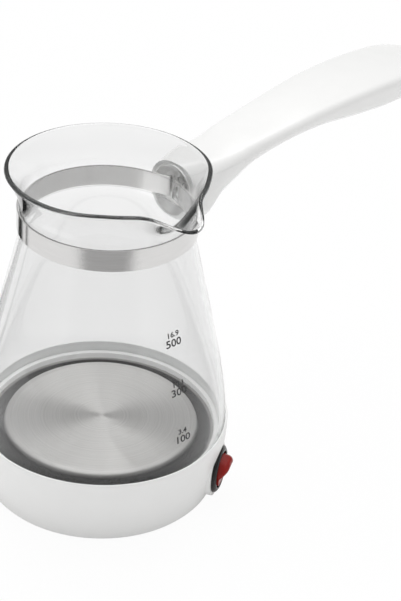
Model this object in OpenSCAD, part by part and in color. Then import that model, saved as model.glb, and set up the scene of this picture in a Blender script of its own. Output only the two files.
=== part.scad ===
// Electric glass coffee pot: a spouted glass jug bonded into a heated base,
// with a long handle on a steel neck band and a round rocker switch.
// Millimetres. +Z is up, the jug's axis is Z, the handle points along +X,
// and Z = 0 is the surface that the foot ring stands on.

/* [Base] */
// Height of the base's lip above the table
base_h = 35; // [34:0.5:38]
// Radius of the base at its lip
base_lip_r = 58.9; // [56:0.1:64]
// How much narrower the base is at its bottom edge
base_taper = 4.9; // [3:0.1:6]
// Wall of the base moulding
base_wall = 2.2; // [1.8:0.1:2.6]
// Wall of the thin lip round the glass
lip_wall = 1.2; // [1:0.1:1.5]
// Thickness of the ledge that carries the heater plate
ledge_t = 2.6; // [2:0.1:3]
// Gap between the bottom edge of the base and the table
skirt_gap = 0.8; // [0.5:0.1:1.2]

/* [Jug] */
// Height of the rim above the table
rim_h = 160; // [156:1:166]
// Outer radius of the neck
neck_r = 38.5; // [37:0.5:40]
// Outer radius of the rim
rim_r = 44.8; // [44:0.2:47]
// Wall of the glass
glass_wall = 2.2; // [1.8:0.1:2.6]
// How far the glass stays straight above the base's lip
jug_straight = 1.5; // [1:0.5:6]
// Height of the flare between the neck's straight stretch and the rim
flare_h = 17.5; // [16:0.5:18.5]
// Length of the neck's straight stretch
neck_len = 11.5; // [11.5:0.5:13]
// How far the spout reaches past the rim
spout_reach = 12.5; // [8:0.5:15]
// How far the spout's tip droops
spout_droop = 4.5; // [2:0.5:6]
// Direction of the spout, from the handle
spout_az = -97; // [-105:1:-90]

/* [Heater] */
// Depth of the heater plate's top below the base's lip
plate_sink = 3.9; // [3:0.1:4.5]
// Width of the ring between the plate's raised middle and the outside of the glass
plate_margin = 12.5; // [12:0.1:14]
// Depth of the groove round the raised middle
groove_depth = 3.5; // [3:0.1:4]
// Thickness of the plate's sheet
sheet_t = 0.6; // [0.5:0.1:0.8]
// Thickness of the aluminium spreader
spreader_t = 2.5; // [2:0.1:3]
// How much smaller the spreader is than the plate's raised middle
spreader_margin = 4; // [3:0.5:5]
// How far the element's middle line lies inside the spreader's edge
element_margin = 11; // [9:0.5:12]
// Diameter of the element's tube
element_d = 6.5; // [6:0.1:7]
// Angle of the open stretch of the element
element_gap = 56; // [50:1:70]
// Direction of the middle of that stretch
element_az = 150; // [140:1:160]

/* [Band and disc] */
// Width of the steel band
band_w = 9.6; // [9:0.1:10]
// Thickness of the band
band_t = 0.6; // [0.5:0.1:0.8]
// Thickness of the silicone liner
liner_t = 0.4; // [0.3:0.1:0.5]
// Gap between the band's two tabs
tab_gap = 1.6; // [1.2:0.1:2.4]
// Height of the tabs
tab_w = 7; // [6:0.1:7.4]
// Diameter of the round disc at the handle's root
disc_d = 24.4; // [23.6:0.1:25]
// Thickness of the disc's sheet
disc_t = 1; // [0.8:0.1:1.3]
// Depth of the dished disc
dish_depth = 3; // [2.4:0.1:3.4]
// How far the disc's middle lies below the band's
disc_low = 1.9; // [1.4:0.1:2.2]
// Gap between the band and the disc's rim
disc_gap = 1.8; // [1.7:0.1:2.4]

/* [Handle] */
// Reach of the handle's end from the jug's axis
handle_reach = 231; // [220:1:245]
// Wall of the handle's mouldings
handle_wall = 2.2; // [1.8:0.1:2.4]
// Crown of the handle's top
handle_crown = 1; // [0.6:0.1:1.4]
// Width of the seam between the two mouldings
seam = 0.15; // [0.1:0.05:0.3]

/* [Switch] */
// Direction of the switch, from the handle
switch_az = -64; // [-70:1:-58]
// How far the switch's centre lies above the middle between the bottom cover and the heater plate
switch_lift = 0; // [-0.2:0.1:0.4]
// How far the flat switch pad stands out of the base's wall
pad_out = 0.3; // [0.2:0.1:0.6]
// Diameter of the bezel
bezel_d = 22.6; // [22.4:0.1:23]
// Thickness of the bezel's flange
bezel_t = 2; // [1.6:0.1:2.4]
// Diameter of the barrel behind it
barrel_d = 20.2; // [20:0.1:20.4]
// Radius of the rocker's rounded body
rocker_r = 8.6; // [8.4:0.1:8.7]
// Tilt of the rocker to each side
rocker_tilt = 12; // [8:1:12]
// Share of that tilt that the contact lever makes
lever_share = 0.5; // [0.4:0.1:0.6]

/* [Underside] */
// Thickness of the bottom cover
cover_t = 2; // [1.8:0.1:2.4]
// How far the middle of the rubber foot ring lies inside the base's bottom edge
foot_ring_inset = 5.4; // [5.2:0.1:7]
// Width of the foot ring
foot_ring_w = 3; // [2.5:0.1:3.2]
// How far the cover's screws stand inside the base's bottom edge
cover_screw_inset = 11.5; // [11:0.5:13]
// Diameter of the mains cord that the bush takes
cord_d = 6.6; // [6:0.1:7]
// Direction of the cord's bush, from the handle
cord_az = 118; // [112:1:124]
// Height of the cord's bush
cord_h = 10.5; // [10:0.5:12]

/* [Hidden] */
$fn = 96;

// Colours
WHITE = "#f0f0ef";
STEEL = "#b9b9b8";
BLACK = "#1c1718";
RED = "#b0342d";
BRASS = "#c8a24a";
GREY = "#7d7f80";
CERAMIC = "#e6e0d2";

// Clearances
fit_gap = 0.2;      // between pieces that are only near each other
run_gap = 0.05;     // round a pin that turns
eps = 0.01;         // overshoot of a cut
over = 1;           // longer overshoot of a cut

// Levels and radii worked out from the base's
base_foot_r = base_lip_r - base_taper;
plate_h = base_h - plate_sink;
jug_straight_h = base_h + jug_straight;
neck_low = rim_h - flare_h - neck_len;
groove_z = plate_h - groove_depth;
ledge_z = groove_z - sheet_t;
seal_floor = 1;
glass_z = groove_z + seal_floor;
glass_r = base_lip_r - lip_wall - fit_gap;
plate_r = glass_r - plate_margin;
spreader_r = plate_r - spreader_margin;
element_ring_r = spreader_r - element_margin;
foot_ring_r = base_foot_r - foot_ring_inset;
cover_screw_r = base_foot_r - cover_screw_inset;
band_z = neck_low + neck_len / 2;
under_plate = plate_h - sheet_t;
under_spreader = under_plate - spreader_t;

function polar(r, a) = [r * cos(a), r * sin(a)];
function bezier(p, t) = pow(1 - t, 3) * p[0] + 3 * pow(1 - t, 2) * t * p[1]
    + 3 * (1 - t) * t * t * p[2] + pow(t, 3) * p[3];
function curve(p, steps) = [for (i = [0:steps]) bezier(p, i / steps)];
function arc(c, r, a0, a1, steps) = [for (i = [0:steps]) c + polar(r, a0 + (a1 - a0) * i / steps)];
function reversed(l) = [for (i = [len(l) - 1:-1:0]) l[i]];

// Skin over rings of points: each ring has the same number of points, anticlockwise seen
// from the far end. loop joins the last ring to the first instead of capping both.
module skin(rings, loop = false) {
    n = len(rings);
    m = len(rings[0]);
    points = [for (ring = rings) each ring];
    sides = [for (i = [0:loop ? n - 1 : n - 2], j = [0:m - 1])
        let (a = i * m + j, b = i * m + (j + 1) % m,
             c = ((i + 1) % n) * m + (j + 1) % m, d = ((i + 1) % n) * m + j)
        each [[a, c, b], [a, d, c]]];
    caps = loop ? [] : [[for (j = [0:m - 1]) j], [for (j = [m - 1:-1:0]) (n - 1) * m + j]];
    polyhedron(points, concat(sides, caps), convexity = 8);
}

function unit(v) = v / norm(v);
function tangents(p) = [for (i = [0:len(p) - 1]) unit(p[min(i + 1, len(p) - 1)] - p[max(i - 1, 0)])];
function normals(t) = [for (i = 0, n = unit(cross(t[0], abs(t[0][2]) < 0.9 ? [0, 0, 1] : [1, 0, 0]));
    i < len(t); i = i + 1, n = i < len(t) ? unit(n - (n * t[i]) * t[i]) : n) n];
// Round tube swept along a line of points
module tube(path, r, sides) {
    t = tangents(path);
    n = normals(t);
    skin([for (i = [0:len(path) - 1]) [for (k = [0:sides - 1]) let (w = 360 * k / sides)
        path[i] + r * (cos(w) * n[i] + sin(w) * cross(t[i], n[i]))]]);
}

// A tube along the Z axis
module ring(r_in, r_out, z0, z1) {
    rotate_extrude() translate([r_in, z0]) square([r_out - r_in, z1 - z0]);
}

// Turns children from the switch's own frame (x outwards, y sideways, z up) into place
module at_wall(az, dist, z) {
    rotate([0, 0, az]) translate([dist, 0, z]) children();
}

// A cylinder along X from x0 to x1
module rod_x(r, x0, x1) {
    translate([x0, 0, 0]) rotate([0, 90, 0]) cylinder(r = r, h = x1 - x0);
}

// A cylinder along Y from y0 to y1
module rod_y(r, y0, y1) {
    translate([0, y0, 0]) rotate([-90, 0, 0]) cylinder(r = r, h = y1 - y0);
}

// Self-tapping or machine screw, head down at z = 0, shank upwards
module screw(head_r, head_h, shank_r, length) {
    cylinder(r = head_r, h = head_h);
    cylinder(r = shank_r, h = length);
}

/* ---------- Jug ---------- */

flare_z = neck_low + neck_len;
bead_r = 1.5;
body_steps = 20;
body_line = [[glass_r, jug_straight_h], [glass_r, jug_straight_h + 23],
    [neck_r, neck_low - 9], [neck_r, neck_low]];
// Wall of the body drawn inside the outer line, measured level
function inner_line(p) = [for (q = p) q - [glass_wall, 0]];
// Radius of the flared neck at a share of its height, 0 at the neck and 1 at the rim
function flare_r(t) = neck_r - sink_in + (rim_r - neck_r + sink_in) * pow(t, 1.7);
// Directions of the columns of the rim, closer together round the spout
function rim_steps() = let (near = [for (a = [0:3:36]) a], far = [for (a = [44:8:172]) a])
    concat([180], [for (a = reversed(far)) -a], [for (a = reversed(near)) if (a > 0) -a], near, far);
// The spout's reach and droop at an angle from its middle
function spout_out(a) = spout_reach * exp(-pow(abs(a) / 13, 2.2)) - 1.2 * exp(-pow((abs(a) - 42) / 16, 2));
function spout_down(a) = spout_droop * exp(-pow(abs(a) / 12, 2));
rows = 7;
sink = 1.2;
sink_in = 0.12;
// One column of the rim: outer face upwards, round the bead, inner face downwards
function rim_column(a) = let (
        h = rim_h - bead_r - flare_z,
        row = [for (i = [0:rows]) i / rows],
        shape = function (t) pow(t, 2.2),
        outer = [for (t = row) [flare_r(t) + shape(t) * spout_out(a), flare_z + t * h - shape(t) * spout_down(a)]],
        inner = [for (t = reversed(row)) [flare_r(t) - glass_wall + 2 * sink_in * (1 - t) - 0.6 * pow(t, 6) + shape(t) * spout_out(a),
            flare_z + t * h - shape(t) * spout_down(a)]],
        top = outer[rows],
        bead = arc([top[0] - bead_r, top[1]], bead_r, 30, 150, 4))
    reversed(concat([[neck_r - sink_in, flare_z - sink]], outer, bead, inner,
        [[neck_r - glass_wall + sink_in, flare_z - sink]]));

module glass_jug() {
    color([0.9, 0.94, 0.95, 0.4]) union() {
        rotate_extrude() polygon(concat(
            [[glass_r, glass_z]], curve(body_line, body_steps), [[neck_r, flare_z]],
            [[neck_r - glass_wall, flare_z]], reversed(inner_line(curve(body_line, body_steps))),
            [[glass_r - glass_wall, glass_z]]));
        skin([for (a = rim_steps()) [for (p = rim_column(a))
            [p[0] * cos(a + spout_az), p[0] * sin(a + spout_az), p[1]]]], loop = true);
    }
}

seal_lip_t = 2.2;
seal_lip_h = 2.9;
module seal_ring() {
    color(GREY) rotate_extrude() difference() {
        translate([glass_r - glass_wall - seal_lip_t, groove_z]) square([seal_lip_t + glass_wall, seal_lip_h]);
        translate([glass_r - glass_wall, glass_z]) square([glass_wall + over, seal_lip_h]);
    }
}

/* ---------- Heater ---------- */

plate_edge_r = 1.6;
slope_w = 1.6;
flange_r = glass_r;
// Top line of the stamped plate from its middle outwards
function plate_line(drop) = concat([[0, plate_h - drop]],
    arc([plate_r - plate_edge_r, plate_h - plate_edge_r], plate_edge_r - drop, 90, 20, 5),
    arc([plate_r + slope_w, groove_z + 1], 1 + drop, 200, 270, 4),
    [[flange_r, groove_z - drop]]);

module heater_plate() {
    color(STEEL) rotate_extrude() polygon(concat(plate_line(0), reversed(plate_line(sheet_t))));
}

thermostat_r = 7.5;
strap_screw_r = thermostat_r + 6;
fuse_r = 2.1;
fuse_in = 10.5;
fuse_half = 6.5;
fuse_lead = 5.5;
fuse_wire_r = 0.5;
fuse_x = element_ring_r - fuse_in;
module heat_spreader() {
    color("#c9cbcc") difference() {
        translate([0, 0, under_spreader]) cylinder(r = spreader_r, h = spreader_t);
        for (a = [0, 180]) rotate([0, 0, a + strap_az]) translate([strap_screw_r, 0, under_spreader - over])
            cylinder(r = 1.25, h = 1.8 + over);
    }
}

element_r = element_d / 2;
element_z = under_spreader - element_r;
element_turn = 6.5;
element_drop = 3;
element_a0 = element_az + element_gap / 2;
element_sweep = 360 - element_gap;
// Places children at both ends of the element's ring, x along the tube's way out
module at_element_ends() {
    for (end = [0, 1]) rotate([0, 0, end == 0 ? element_a0 : element_a0 + element_sweep])
        translate([element_ring_r, 0, element_z]) rotate([0, 0, end == 0 ? -90 : 90]) children();
}
pin_x = element_turn;
pin_z = -element_turn - element_drop;

element_steps = 40;
// Turned-down end at one end of the ring: side is -1 at its start and 1 at its end
function element_end(a, side) = let (c = concat(polar(element_ring_r, a), [element_z]),
        out = side * [-sin(a), cos(a), 0])
    concat([for (w = [90:-18:0]) c + element_turn * (cos(w) * out + [0, 0, sin(w) - 1])],
        [c + element_turn * (out - [0, 0, 1]) - [0, 0, element_drop]]);

module heating_element() {
    color("#8f9192") tube(concat(reversed(element_end(element_a0, -1)),
        [for (i = [1:element_steps - 1]) concat(polar(element_ring_r,
            element_a0 + element_sweep * i / element_steps), [element_z])],
        element_end(element_a0 + element_sweep, 1)), element_r, 16);
}

blade_w = 6.3;
blade_t = 0.8;
blade_gap = 1.85;
module element_terminals() {
    blade_l = element_z + pin_z - 2.2 - (cover_z + cover_t + blade_gap);
    at_element_ends() translate([pin_x, 0, pin_z]) {
        color(CERAMIC) translate([0, 0, -2.2]) cylinder(r1 = 2, r2 = 2.8, h = 2.2);
        color(STEEL) translate([-blade_w / 2, -blade_t / 2, -2.2 - blade_l]) cube([blade_w, blade_t, blade_l]);
    }
}

stud_pcd_r = glass_r - 8.5;
stud_r = 1.75;
clamp_t = 1.5;
clamp_z = ledge_z - ledge_t;
nut_h = 2.8;
clamp_open = 17;
module at_studs() {
    for (a = [30, 150, 270]) rotate([0, 0, a]) translate([stud_pcd_r, 0, 0]) children();
}

module clamp_studs() {
    color(STEEL) at_studs() translate([0, 0, clamp_z - clamp_t - nut_h - 1])
        cylinder(r = stud_r, h = ledge_z - clamp_z + clamp_t + nut_h + 1);
}

module clamp_ring() {
    color(STEEL) difference() {
        ring(stud_pcd_r - 3.6, stud_pcd_r + 4.6, clamp_z - clamp_t, clamp_z);
        at_studs() translate([0, 0, clamp_z - clamp_t - over]) cylinder(r = stud_r + fit_gap, h = clamp_t + 2 * over);
        // open over the switch
        translate([0, 0, clamp_z - clamp_t - over]) linear_extrude(clamp_t + 2 * over)
            polygon([[0, 0], polar(2 * stud_pcd_r, switch_az - clamp_open), polar(2 * stud_pcd_r, switch_az + clamp_open)]);
    }
}

module clamp_nuts() {
    color(STEEL) at_studs() translate([0, 0, clamp_z - clamp_t - nut_h]) difference() {
        cylinder(r = 3.2, h = nut_h, $fn = 6);
        translate([0, 0, -over]) cylinder(r = stud_r + run_gap, h = nut_h + 2 * over);
    }
}

strap_az = 60;
thermostat_body_h = 6;
thermostat_cap_h = 3.4;
tab_off = 4;
tab_l = 6;
strap_t = 0.8;
strap_w = 10;
strap_half = thermostat_r + 3;
module thermostat() {
    translate([0, 0, under_spreader - thermostat_cap_h]) color(STEEL) cylinder(r = thermostat_r + 0.6, h = thermostat_cap_h);
    translate([0, 0, under_spreader - thermostat_cap_h - thermostat_body_h]) color("#3a2a20")
        cylinder(r = thermostat_r, h = thermostat_body_h);
    for (y = [-tab_off, tab_off]) translate([0, y, under_spreader - thermostat_cap_h - thermostat_body_h - tab_l]) color(BRASS)
        translate([-blade_w / 2, -blade_t / 2, 0]) cube([blade_w, blade_t, tab_l]);
}

// Spring strap: a bridge with a hole for the thermostat's body and two feet on the spreader
module thermostat_bracket() {
    z_in = under_spreader - thermostat_cap_h;
    color(STEEL) rotate([0, 0, strap_az]) difference() {
        union() {
            translate([-strap_half, -strap_w / 2, z_in - strap_t]) cube([2 * strap_half, strap_w, strap_t]);
            translate([0, 0, z_in - strap_t]) cylinder(r = thermostat_r + 2, h = strap_t);
            for (s = [-1, 1]) rotate([0, 0, s > 0 ? 0 : 180]) {
                translate([strap_half - strap_t, -strap_w / 2, z_in - strap_t])
                    cube([strap_t, strap_w, thermostat_cap_h + strap_t]);
                translate([strap_half - strap_t, -strap_w / 2, under_spreader - strap_t])
                    cube([strap_t + 2 * (strap_screw_r - strap_half), strap_w, strap_t]);
            }
        }
        translate([0, 0, z_in - strap_t - over]) cylinder(r = thermostat_r + fit_gap, h = strap_t + 2 * over);
        for (s = [-1, 1]) translate([s * strap_screw_r, 0, under_spreader - strap_t - over])
            cylinder(r = 1.4, h = strap_t + 2 * over);
    }
}

module thermostat_screws() {
    color(STEEL) rotate([0, 0, strap_az]) for (s = [-1, 1])
        translate([s * strap_screw_r, 0, under_spreader - strap_t - 1.6]) screw(2, 1.6, 1.2, 1.6 + strap_t + 1.6);
}

module thermal_fuse() {
    rotate([0, 0, fuse_az]) translate([fuse_x, 0, under_spreader - strap_t - fuse_r]) {
        color(CERAMIC) rod_y(fuse_r, -fuse_half, fuse_half);
        color(STEEL) rod_y(fuse_wire_r, -fuse_half - fuse_lead, -fuse_half);
        color(STEEL) rod_y(fuse_wire_r, fuse_half, fuse_half + fuse_lead);
    }
}
fuse_az = -30;

module fuse_clip() {
    clip_r = fuse_r + run_gap;
    color(STEEL) rotate([0, 0, fuse_az]) translate([fuse_x, 0, under_spreader - strap_t - fuse_r]) difference() {
        union() {
            rod_y(clip_r + 0.6, -3, 3);
            translate([-clip_r - 0.6, -3, 0]) cube([2 * clip_r + 1.2, 6, fuse_r + strap_t]);
        }
        rod_y(clip_r, -3 - over, 3 + over);
        translate([-1.2, -3 - over, -fuse_r - 2]) cube([2.4, 6 + 2 * over, 3]);
    }
}

/* ---------- Base ---------- */

skirt_z = skirt_gap;
wall_top = base_h;
// Radius of the base's outside: a large arc, upright at the lip
bulge = (pow(base_h - skirt_z, 2) + pow(base_lip_r - base_foot_r, 2)) / (2 * (base_lip_r - base_foot_r));
function base_r(z) = base_lip_r - bulge + sqrt(pow(bulge, 2) - pow(base_h - z, 2));
wall_steps = 10;
edge_r = 1.4;
function wall_line(z0, z1, inset) = [for (i = [0:wall_steps]) let (z = z0 + (z1 - z0) * i / wall_steps)
    [base_r(z) - inset, z]];
ledge_r = glass_r - 6.2;
post_r = 3.3;
post_low = 6;
post_top = clamp_z - clamp_t - nut_h;
cover_z = skirt_z + 0.4;
switch_h = (cover_z + cover_t + ledge_z) / 2 + switch_lift;
pad_dist = base_r(switch_h) + pad_out;
pad_r = bezel_d / 2 + 1.6;
lug_out = barrel_d / 2 + 1.4;
lug_gap = 0.6;
lug_w = 5;
wall_reach = 12;
bush_flange_r = cord_d / 2 + 3.2;
bush_neck_r = cord_d / 2 + 1.6;
bush_dist = base_r(cord_h);
bush_seat = 0.8;
bush_in = 5;
flange_t = 2.1;

// Where a post's web ends, in the middle of the wall
function web_end(z) = base_r(z) - base_wall / 2 - cover_screw_r;
module at_posts() {
    for (a = [5, 82, 168, 242]) rotate([0, 0, a]) translate([cover_screw_r, 0, 0]) children();
}

module base_housing() {
    inner_r = base_r(clamp_z) - base_wall;
    seat_r = base_lip_r - lip_wall;
    color(WHITE) difference() {
        union() {
            rotate_extrude() polygon(concat(
                [[base_foot_r - base_wall, skirt_z]],
                arc([base_foot_r - edge_r, skirt_z + edge_r], edge_r, 270, 350, 4),
                wall_line(skirt_z + edge_r, base_h - 0.5, 0),
                [[base_lip_r - 0.4, base_h], [seat_r + 0.3, base_h], [seat_r, base_h - 0.3],
                 [seat_r, ledge_z], [ledge_r, ledge_z], [ledge_r, clamp_z]],
                reversed(wall_line(skirt_z + 2, clamp_z, base_wall))));
            // pad that the switch sits on
            intersection() {
                at_wall(switch_az, 0, switch_h) rod_x(pad_r, pad_dist - pad_out - 4, pad_dist);
                translate([0, 0, skirt_z]) cylinder(r = base_lip_r + 10, h = clamp_z + 1 - skirt_z);
            }
            // flat round pad under the cord bush's flange
            at_wall(cord_az, 0, cord_h) rod_x(bush_flange_r + 0.8, bush_dist - base_wall - 0.5, bush_dist + bush_seat);
            // posts of the cover's screws, each with a web to the wall
            at_posts() {
                translate([0, 0, post_low]) cylinder(r = post_r, h = post_top - post_low);
                translate([0, 0.9, 0]) rotate([90, 0, 0]) linear_extrude(1.8) polygon([[0, post_low],
                    [web_end(post_low), post_low], [web_end(post_top), post_top], [0, post_top]]);
            }
        }
        // room for the switch's barrel
        at_wall(switch_az, 0, switch_h) rod_x(barrel_d / 2 + fit_gap, pad_dist - wall_reach, pad_dist + over);
        // flat inside faces that the snap lugs hold on, and the flat outside face for the bezel
        at_wall(switch_az, pad_dist, switch_h) {
            translate([-base_wall - lug_gap - 8, -lug_out, -lug_w / 2 - 0.7]) cube([8, 2 * lug_out, lug_w + 1.4]);
            rod_x(bezel_d / 2 + 0.3, 0, 8);
        }
        // hole and flat of the cord's bush
        at_wall(cord_az, 0, cord_h) {
            rod_x(bush_neck_r + fit_gap, bush_dist - wall_reach, base_lip_r + over);
            rod_x(bush_flange_r + fit_gap, bush_dist + bush_seat, base_lip_r + over);
        }
        at_posts() translate([0, 0, post_low - over]) cylinder(r = 1.3, h = screw_bite + 2 + over);
    }
}

foot_sink = 0.8;
head_web = 1.6;
screw_head_h = 2;
screw_bite = 8;
module bottom_cover() {
    recess_r = 3.6;
    slot_in_r = 20;
    slot_len = 9;
    color(WHITE) difference() {
        union() {
            translate([0, 0, cover_z]) cylinder(r = base_foot_r - base_wall - fit_gap - 0.2, h = cover_t);
            ring(foot_ring_r - foot_ring_w / 2 - 1.4, foot_ring_r + foot_ring_w / 2 + 1.2,
                cover_z, cover_z + cover_t + foot_sink);
            at_posts() translate([0, 0, cover_z]) cylinder(r = recess_r + 1.2, h = post_low - cover_z);
        }
        ring(foot_ring_r - foot_ring_w / 2, foot_ring_r + foot_ring_w / 2, cover_z - over, cover_z + foot_sink + 0.4);
        at_posts() {
            translate([0, 0, cover_z - over]) cylinder(r = recess_r, h = post_low - head_web - cover_z + over);
            translate([0, 0, cover_z]) cylinder(r = 1.7, h = 10);
        }
        // room over the cover for the switch's barrel
        at_wall(switch_az, 0, switch_h) rod_x(barrel_d / 2 + fit_gap, pad_dist + barrel_x - 2, pad_dist);
        // slots that let out heat and spilled water
        for (a = [0:15:345]) rotate([0, 0, a]) translate([slot_in_r, -1, cover_z - over])
            cube([slot_len, 2, cover_t + 2 * over]);
    }
}

module cover_screws() {
    color(STEEL) at_posts() translate([0, 0, post_low - head_web - screw_head_h])
        screw(2.9, screw_head_h, 1.25, screw_head_h + head_web + screw_bite);
}

module foot_ring() {
    color("#2a2a2b") ring(foot_ring_r - foot_ring_w / 2, foot_ring_r + foot_ring_w / 2, 0, cover_z + foot_sink + 0.4);
}

module cord_bush() {
    x0 = bush_dist - base_wall - bush_in;
    x1 = bush_dist + bush_seat + 0.1 + flange_t;
    color(BLACK) at_wall(cord_az, 0, cord_h) difference() {
        union() {
            rod_x(bush_neck_r, x0, x1);
            rod_x(bush_flange_r, x1 - flange_t, x1);
            rod_x(bush_flange_r, x0, x0 + flange_t);
        }
        rod_x(cord_d / 2, x0 - over, x1 + over);
    }
}

/* ---------- Mains block ---------- */

block_w = 27;
block_d = 13;
block_h = 10;
pole_pitch = block_w / 3;
clamp_pitch = block_d * 0.52;
wire_level = 4;
block_screw_r = 1.5;
block_z = cover_z + cover_t;
block_dist = 22;
block_az = cord_az - 60;
module at_block() {
    rotate([0, 0, block_az]) translate([block_dist, 0, block_z]) children();
}

module terminal_block() {
    color(CERAMIC) at_block() difference() {
        translate([-block_d / 2, -block_w / 2, 0]) cube([block_d, block_w, block_h]);
        for (y = [-1, 0, 1] * pole_pitch) translate([0, y, wire_level]) {
            rod_x(1.6, -block_d / 2 - over, block_d / 2 + over);
            for (x = [-1, 1] * clamp_pitch / 2) translate([x, 0, 0]) cylinder(r = block_screw_r + run_gap, h = block_h);
        }
        for (y = [-1, 1] * pole_pitch / 2) translate([-block_d / 2 - over, y - 0.6, wire_level])
            cube([block_d + 2 * over, 1.2, block_h]);
    }
}

module terminal_screws() {
    color(BRASS) at_block() for (y = [-1, 0, 1] * pole_pitch, x = [-1, 1] * clamp_pitch / 2)
        translate([x, y, wire_level + 0.6]) cylinder(r = block_screw_r, h = block_h - wire_level - 1.4);
}

/* ---------- Switch, in its own frame: x outwards from the pad ---------- */

pivot_x = 0.3;
trunnion_r = 1.2;
well_r = rocker_r + 0.2;
well_x = -6.2;
chamber_x = -12.4;
barrel_x = -15;
lever_x = -10.6;
lever_half = 4.6;
lever_t = 0.5;
lever_w = 3.4;
stem_r = 2.3;
stem_x = -5.4;
module at_switch() {
    at_wall(switch_az, pad_dist, switch_h) children();
}

module switch_housing() {
    color(BLACK) at_switch() difference() {
        union() {
            rotate([0, 90, 0]) rotate_extrude() polygon([[0, 0], [bezel_d / 2, 0], [bezel_d / 2, bezel_t * 0.25],
                [bezel_d / 2 - 0.3, bezel_t * 0.55], [bezel_d / 2 - 0.85, bezel_t * 0.8],
                [bezel_d / 2 - 1.6, bezel_t], [0, bezel_t]]);
            rod_x(barrel_d / 2, barrel_x, 0.2);
            // snap lugs behind the wall
            for (s = [-1, 1]) rotate([s > 0 ? 0 : 180, 0, 0])
                translate([-base_wall - lug_gap - 0.1, barrel_d / 2 - 0.3, -lug_w / 2])
                rotate([0, 0, 180]) linear_extrude(lug_w) polygon([[0, 0.3], [0, -0.9], [4.6, 0.3]]);
        }
        rod_x(well_r, well_x, bezel_t + over);
        translate([chamber_x, -4.2, -6.8]) cube([well_x - chamber_x + eps, 8.4, 13.6]);
        translate([pivot_x, 0, 0]) rod_y(trunnion_r + run_gap, -9.6, 9.6);
        for (z = [-5.6, 0, 5.6]) translate([barrel_x - over, -2.4, z - 0.4]) cube([-barrel_x + chamber_x + 2 * over, 4.8, 0.8]);
    }
}

// Side outline of the rocker about its pivot: a rounded lobe that is pushed in, a lower one
// below it, and the valley between them
lobe_front = 5.2;
lobe_z = 4.8;
lobe_r = 2.4;
low_front = 3.4;
low_z = 5.2;
low_r = 2;
rocker_mid = 2.6;
rocker_back = -3.2;
rocker_rim = rocker_r - 0.9;
rim_round = 2.8;
rocker_side = concat([[rocker_back, -low_z - low_r]],
    arc([low_front - low_r, -low_z], low_r, -90, 10, 5), [[rocker_mid, 0]],
    arc([lobe_front - lobe_r, lobe_z], lobe_r, -26, 90, 6), [[rocker_back, lobe_z + lobe_r]]);
module rocker_turned(a) {
    at_switch() translate([pivot_x, 0, 0]) rotate([0, a, 0]) children();
}

module switch_rocker() {
    color(RED) rocker_turned(rocker_tilt) difference() {
        union() {
            intersection() {
                rotate([0, 90, 0]) rotate_extrude() polygon(concat([[0, rocker_back], [rocker_rim, rocker_back]],
                    arc([rocker_rim - rim_round, lobe_front + 0.1 - rim_round], rim_round, 0, 90, 6), [[0, lobe_front + 0.1]]));
                rotate([90, 0, 0]) translate([0, 0, -rocker_r]) linear_extrude(2 * rocker_r) polygon(rocker_side);
            }
            rod_y(trunnion_r, -9.5, 9.5);
            rod_x(stem_r, stem_x, rocker_back + eps);
        }
        // bore of the plunger, and the pocket of the lamp
        rod_x(1.3 + run_gap, stem_x - over, 0);
        translate([0, 0, 4.7]) rod_x(1.7, rocker_back - over, 1.4);
    }
}

plunger_tip = -9.1;
module switch_plunger() {
    color(CERAMIC) rocker_turned(rocker_tilt) {
        rod_x(1.3, plunger_tip + 1.3, -4.6);
        translate([plunger_tip + 1.3, 0, 0]) sphere(r = 1.3);
    }
}

spring_turns = 4;
spring_x0 = -4.5;
spring_x1 = -0.1;
spring_wire = 0.22;
spring_r = 1;
module switch_spring() {
    steps = 12;
    total = steps * spring_turns;
    color(STEEL) rocker_turned(rocker_tilt) skin([for (i = [0:total])
        let (a = 360 * i / steps, x = spring_x0 + spring_wire + (spring_x1 - spring_x0 - 2 * spring_wire) * i / total)
        [for (k = [0:5]) let (w = 60 * k) [x + spring_wire * cos(w),
            (spring_r + spring_wire * sin(w)) * cos(a), (spring_r + spring_wire * sin(w)) * sin(a)]]]);
}

module neon_lamp() {
    color("#ffb070", 0.6) rocker_turned(rocker_tilt) translate([0, 0, 4.7]) rod_x(1.6, rocker_back + 0.2, 1.4);
}

// See-saw on the middle terminal's edge, tipped the other way by the plunger
lever_tilt = rocker_tilt * lever_share;
module contact_lever() {
    color(BRASS) at_switch() translate([lever_x, 0, 0]) rotate([0, -lever_tilt, 0]) difference() {
        union() {
            for (s = [-1, 1]) mirror([0, 0, s > 0 ? 0 : 1]) rotate([0, -6, 0])
                translate([0.2, -lever_w / 2, 0]) cube([lever_t, lever_w, lever_half]);
            translate([0.2, -lever_w / 2, -0.5]) cube([lever_t, lever_w, 1]);
        }
        translate([-0.2, 0, 0]) rod_y(0.45, -lever_w, lever_w);
    }
}

module switch_terminals() {
    color(BRASS) at_switch() for (z = [-5.6, 0, 5.6]) {
        translate([barrel_x - 8, -2.35, z - 0.35]) cube([8 - barrel_x + chamber_x + 0.3, 4.7, 0.7]);
    }
}

/* ---------- Band ---------- */

band_in = neck_r + liner_t;
band_out = band_in + band_t;
band_low = band_z - band_w / 2;
leave_az = 20;
tab_y = tab_gap / 2;
disc_x = band_out + disc_gap;
root_x = disc_x + disc_t;
tab_end = root_x + 14.7;
bend_r = 0.7;
// Middle of the bend where a straight end, which leaves the neck at leave_az, turns out into its tab
bend_y = tab_y + band_t + bend_r;
bend_x = (band_out + bend_r - bend_y * sin(leave_az)) / cos(leave_az);
tab_x = bend_x + 0.2;

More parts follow.
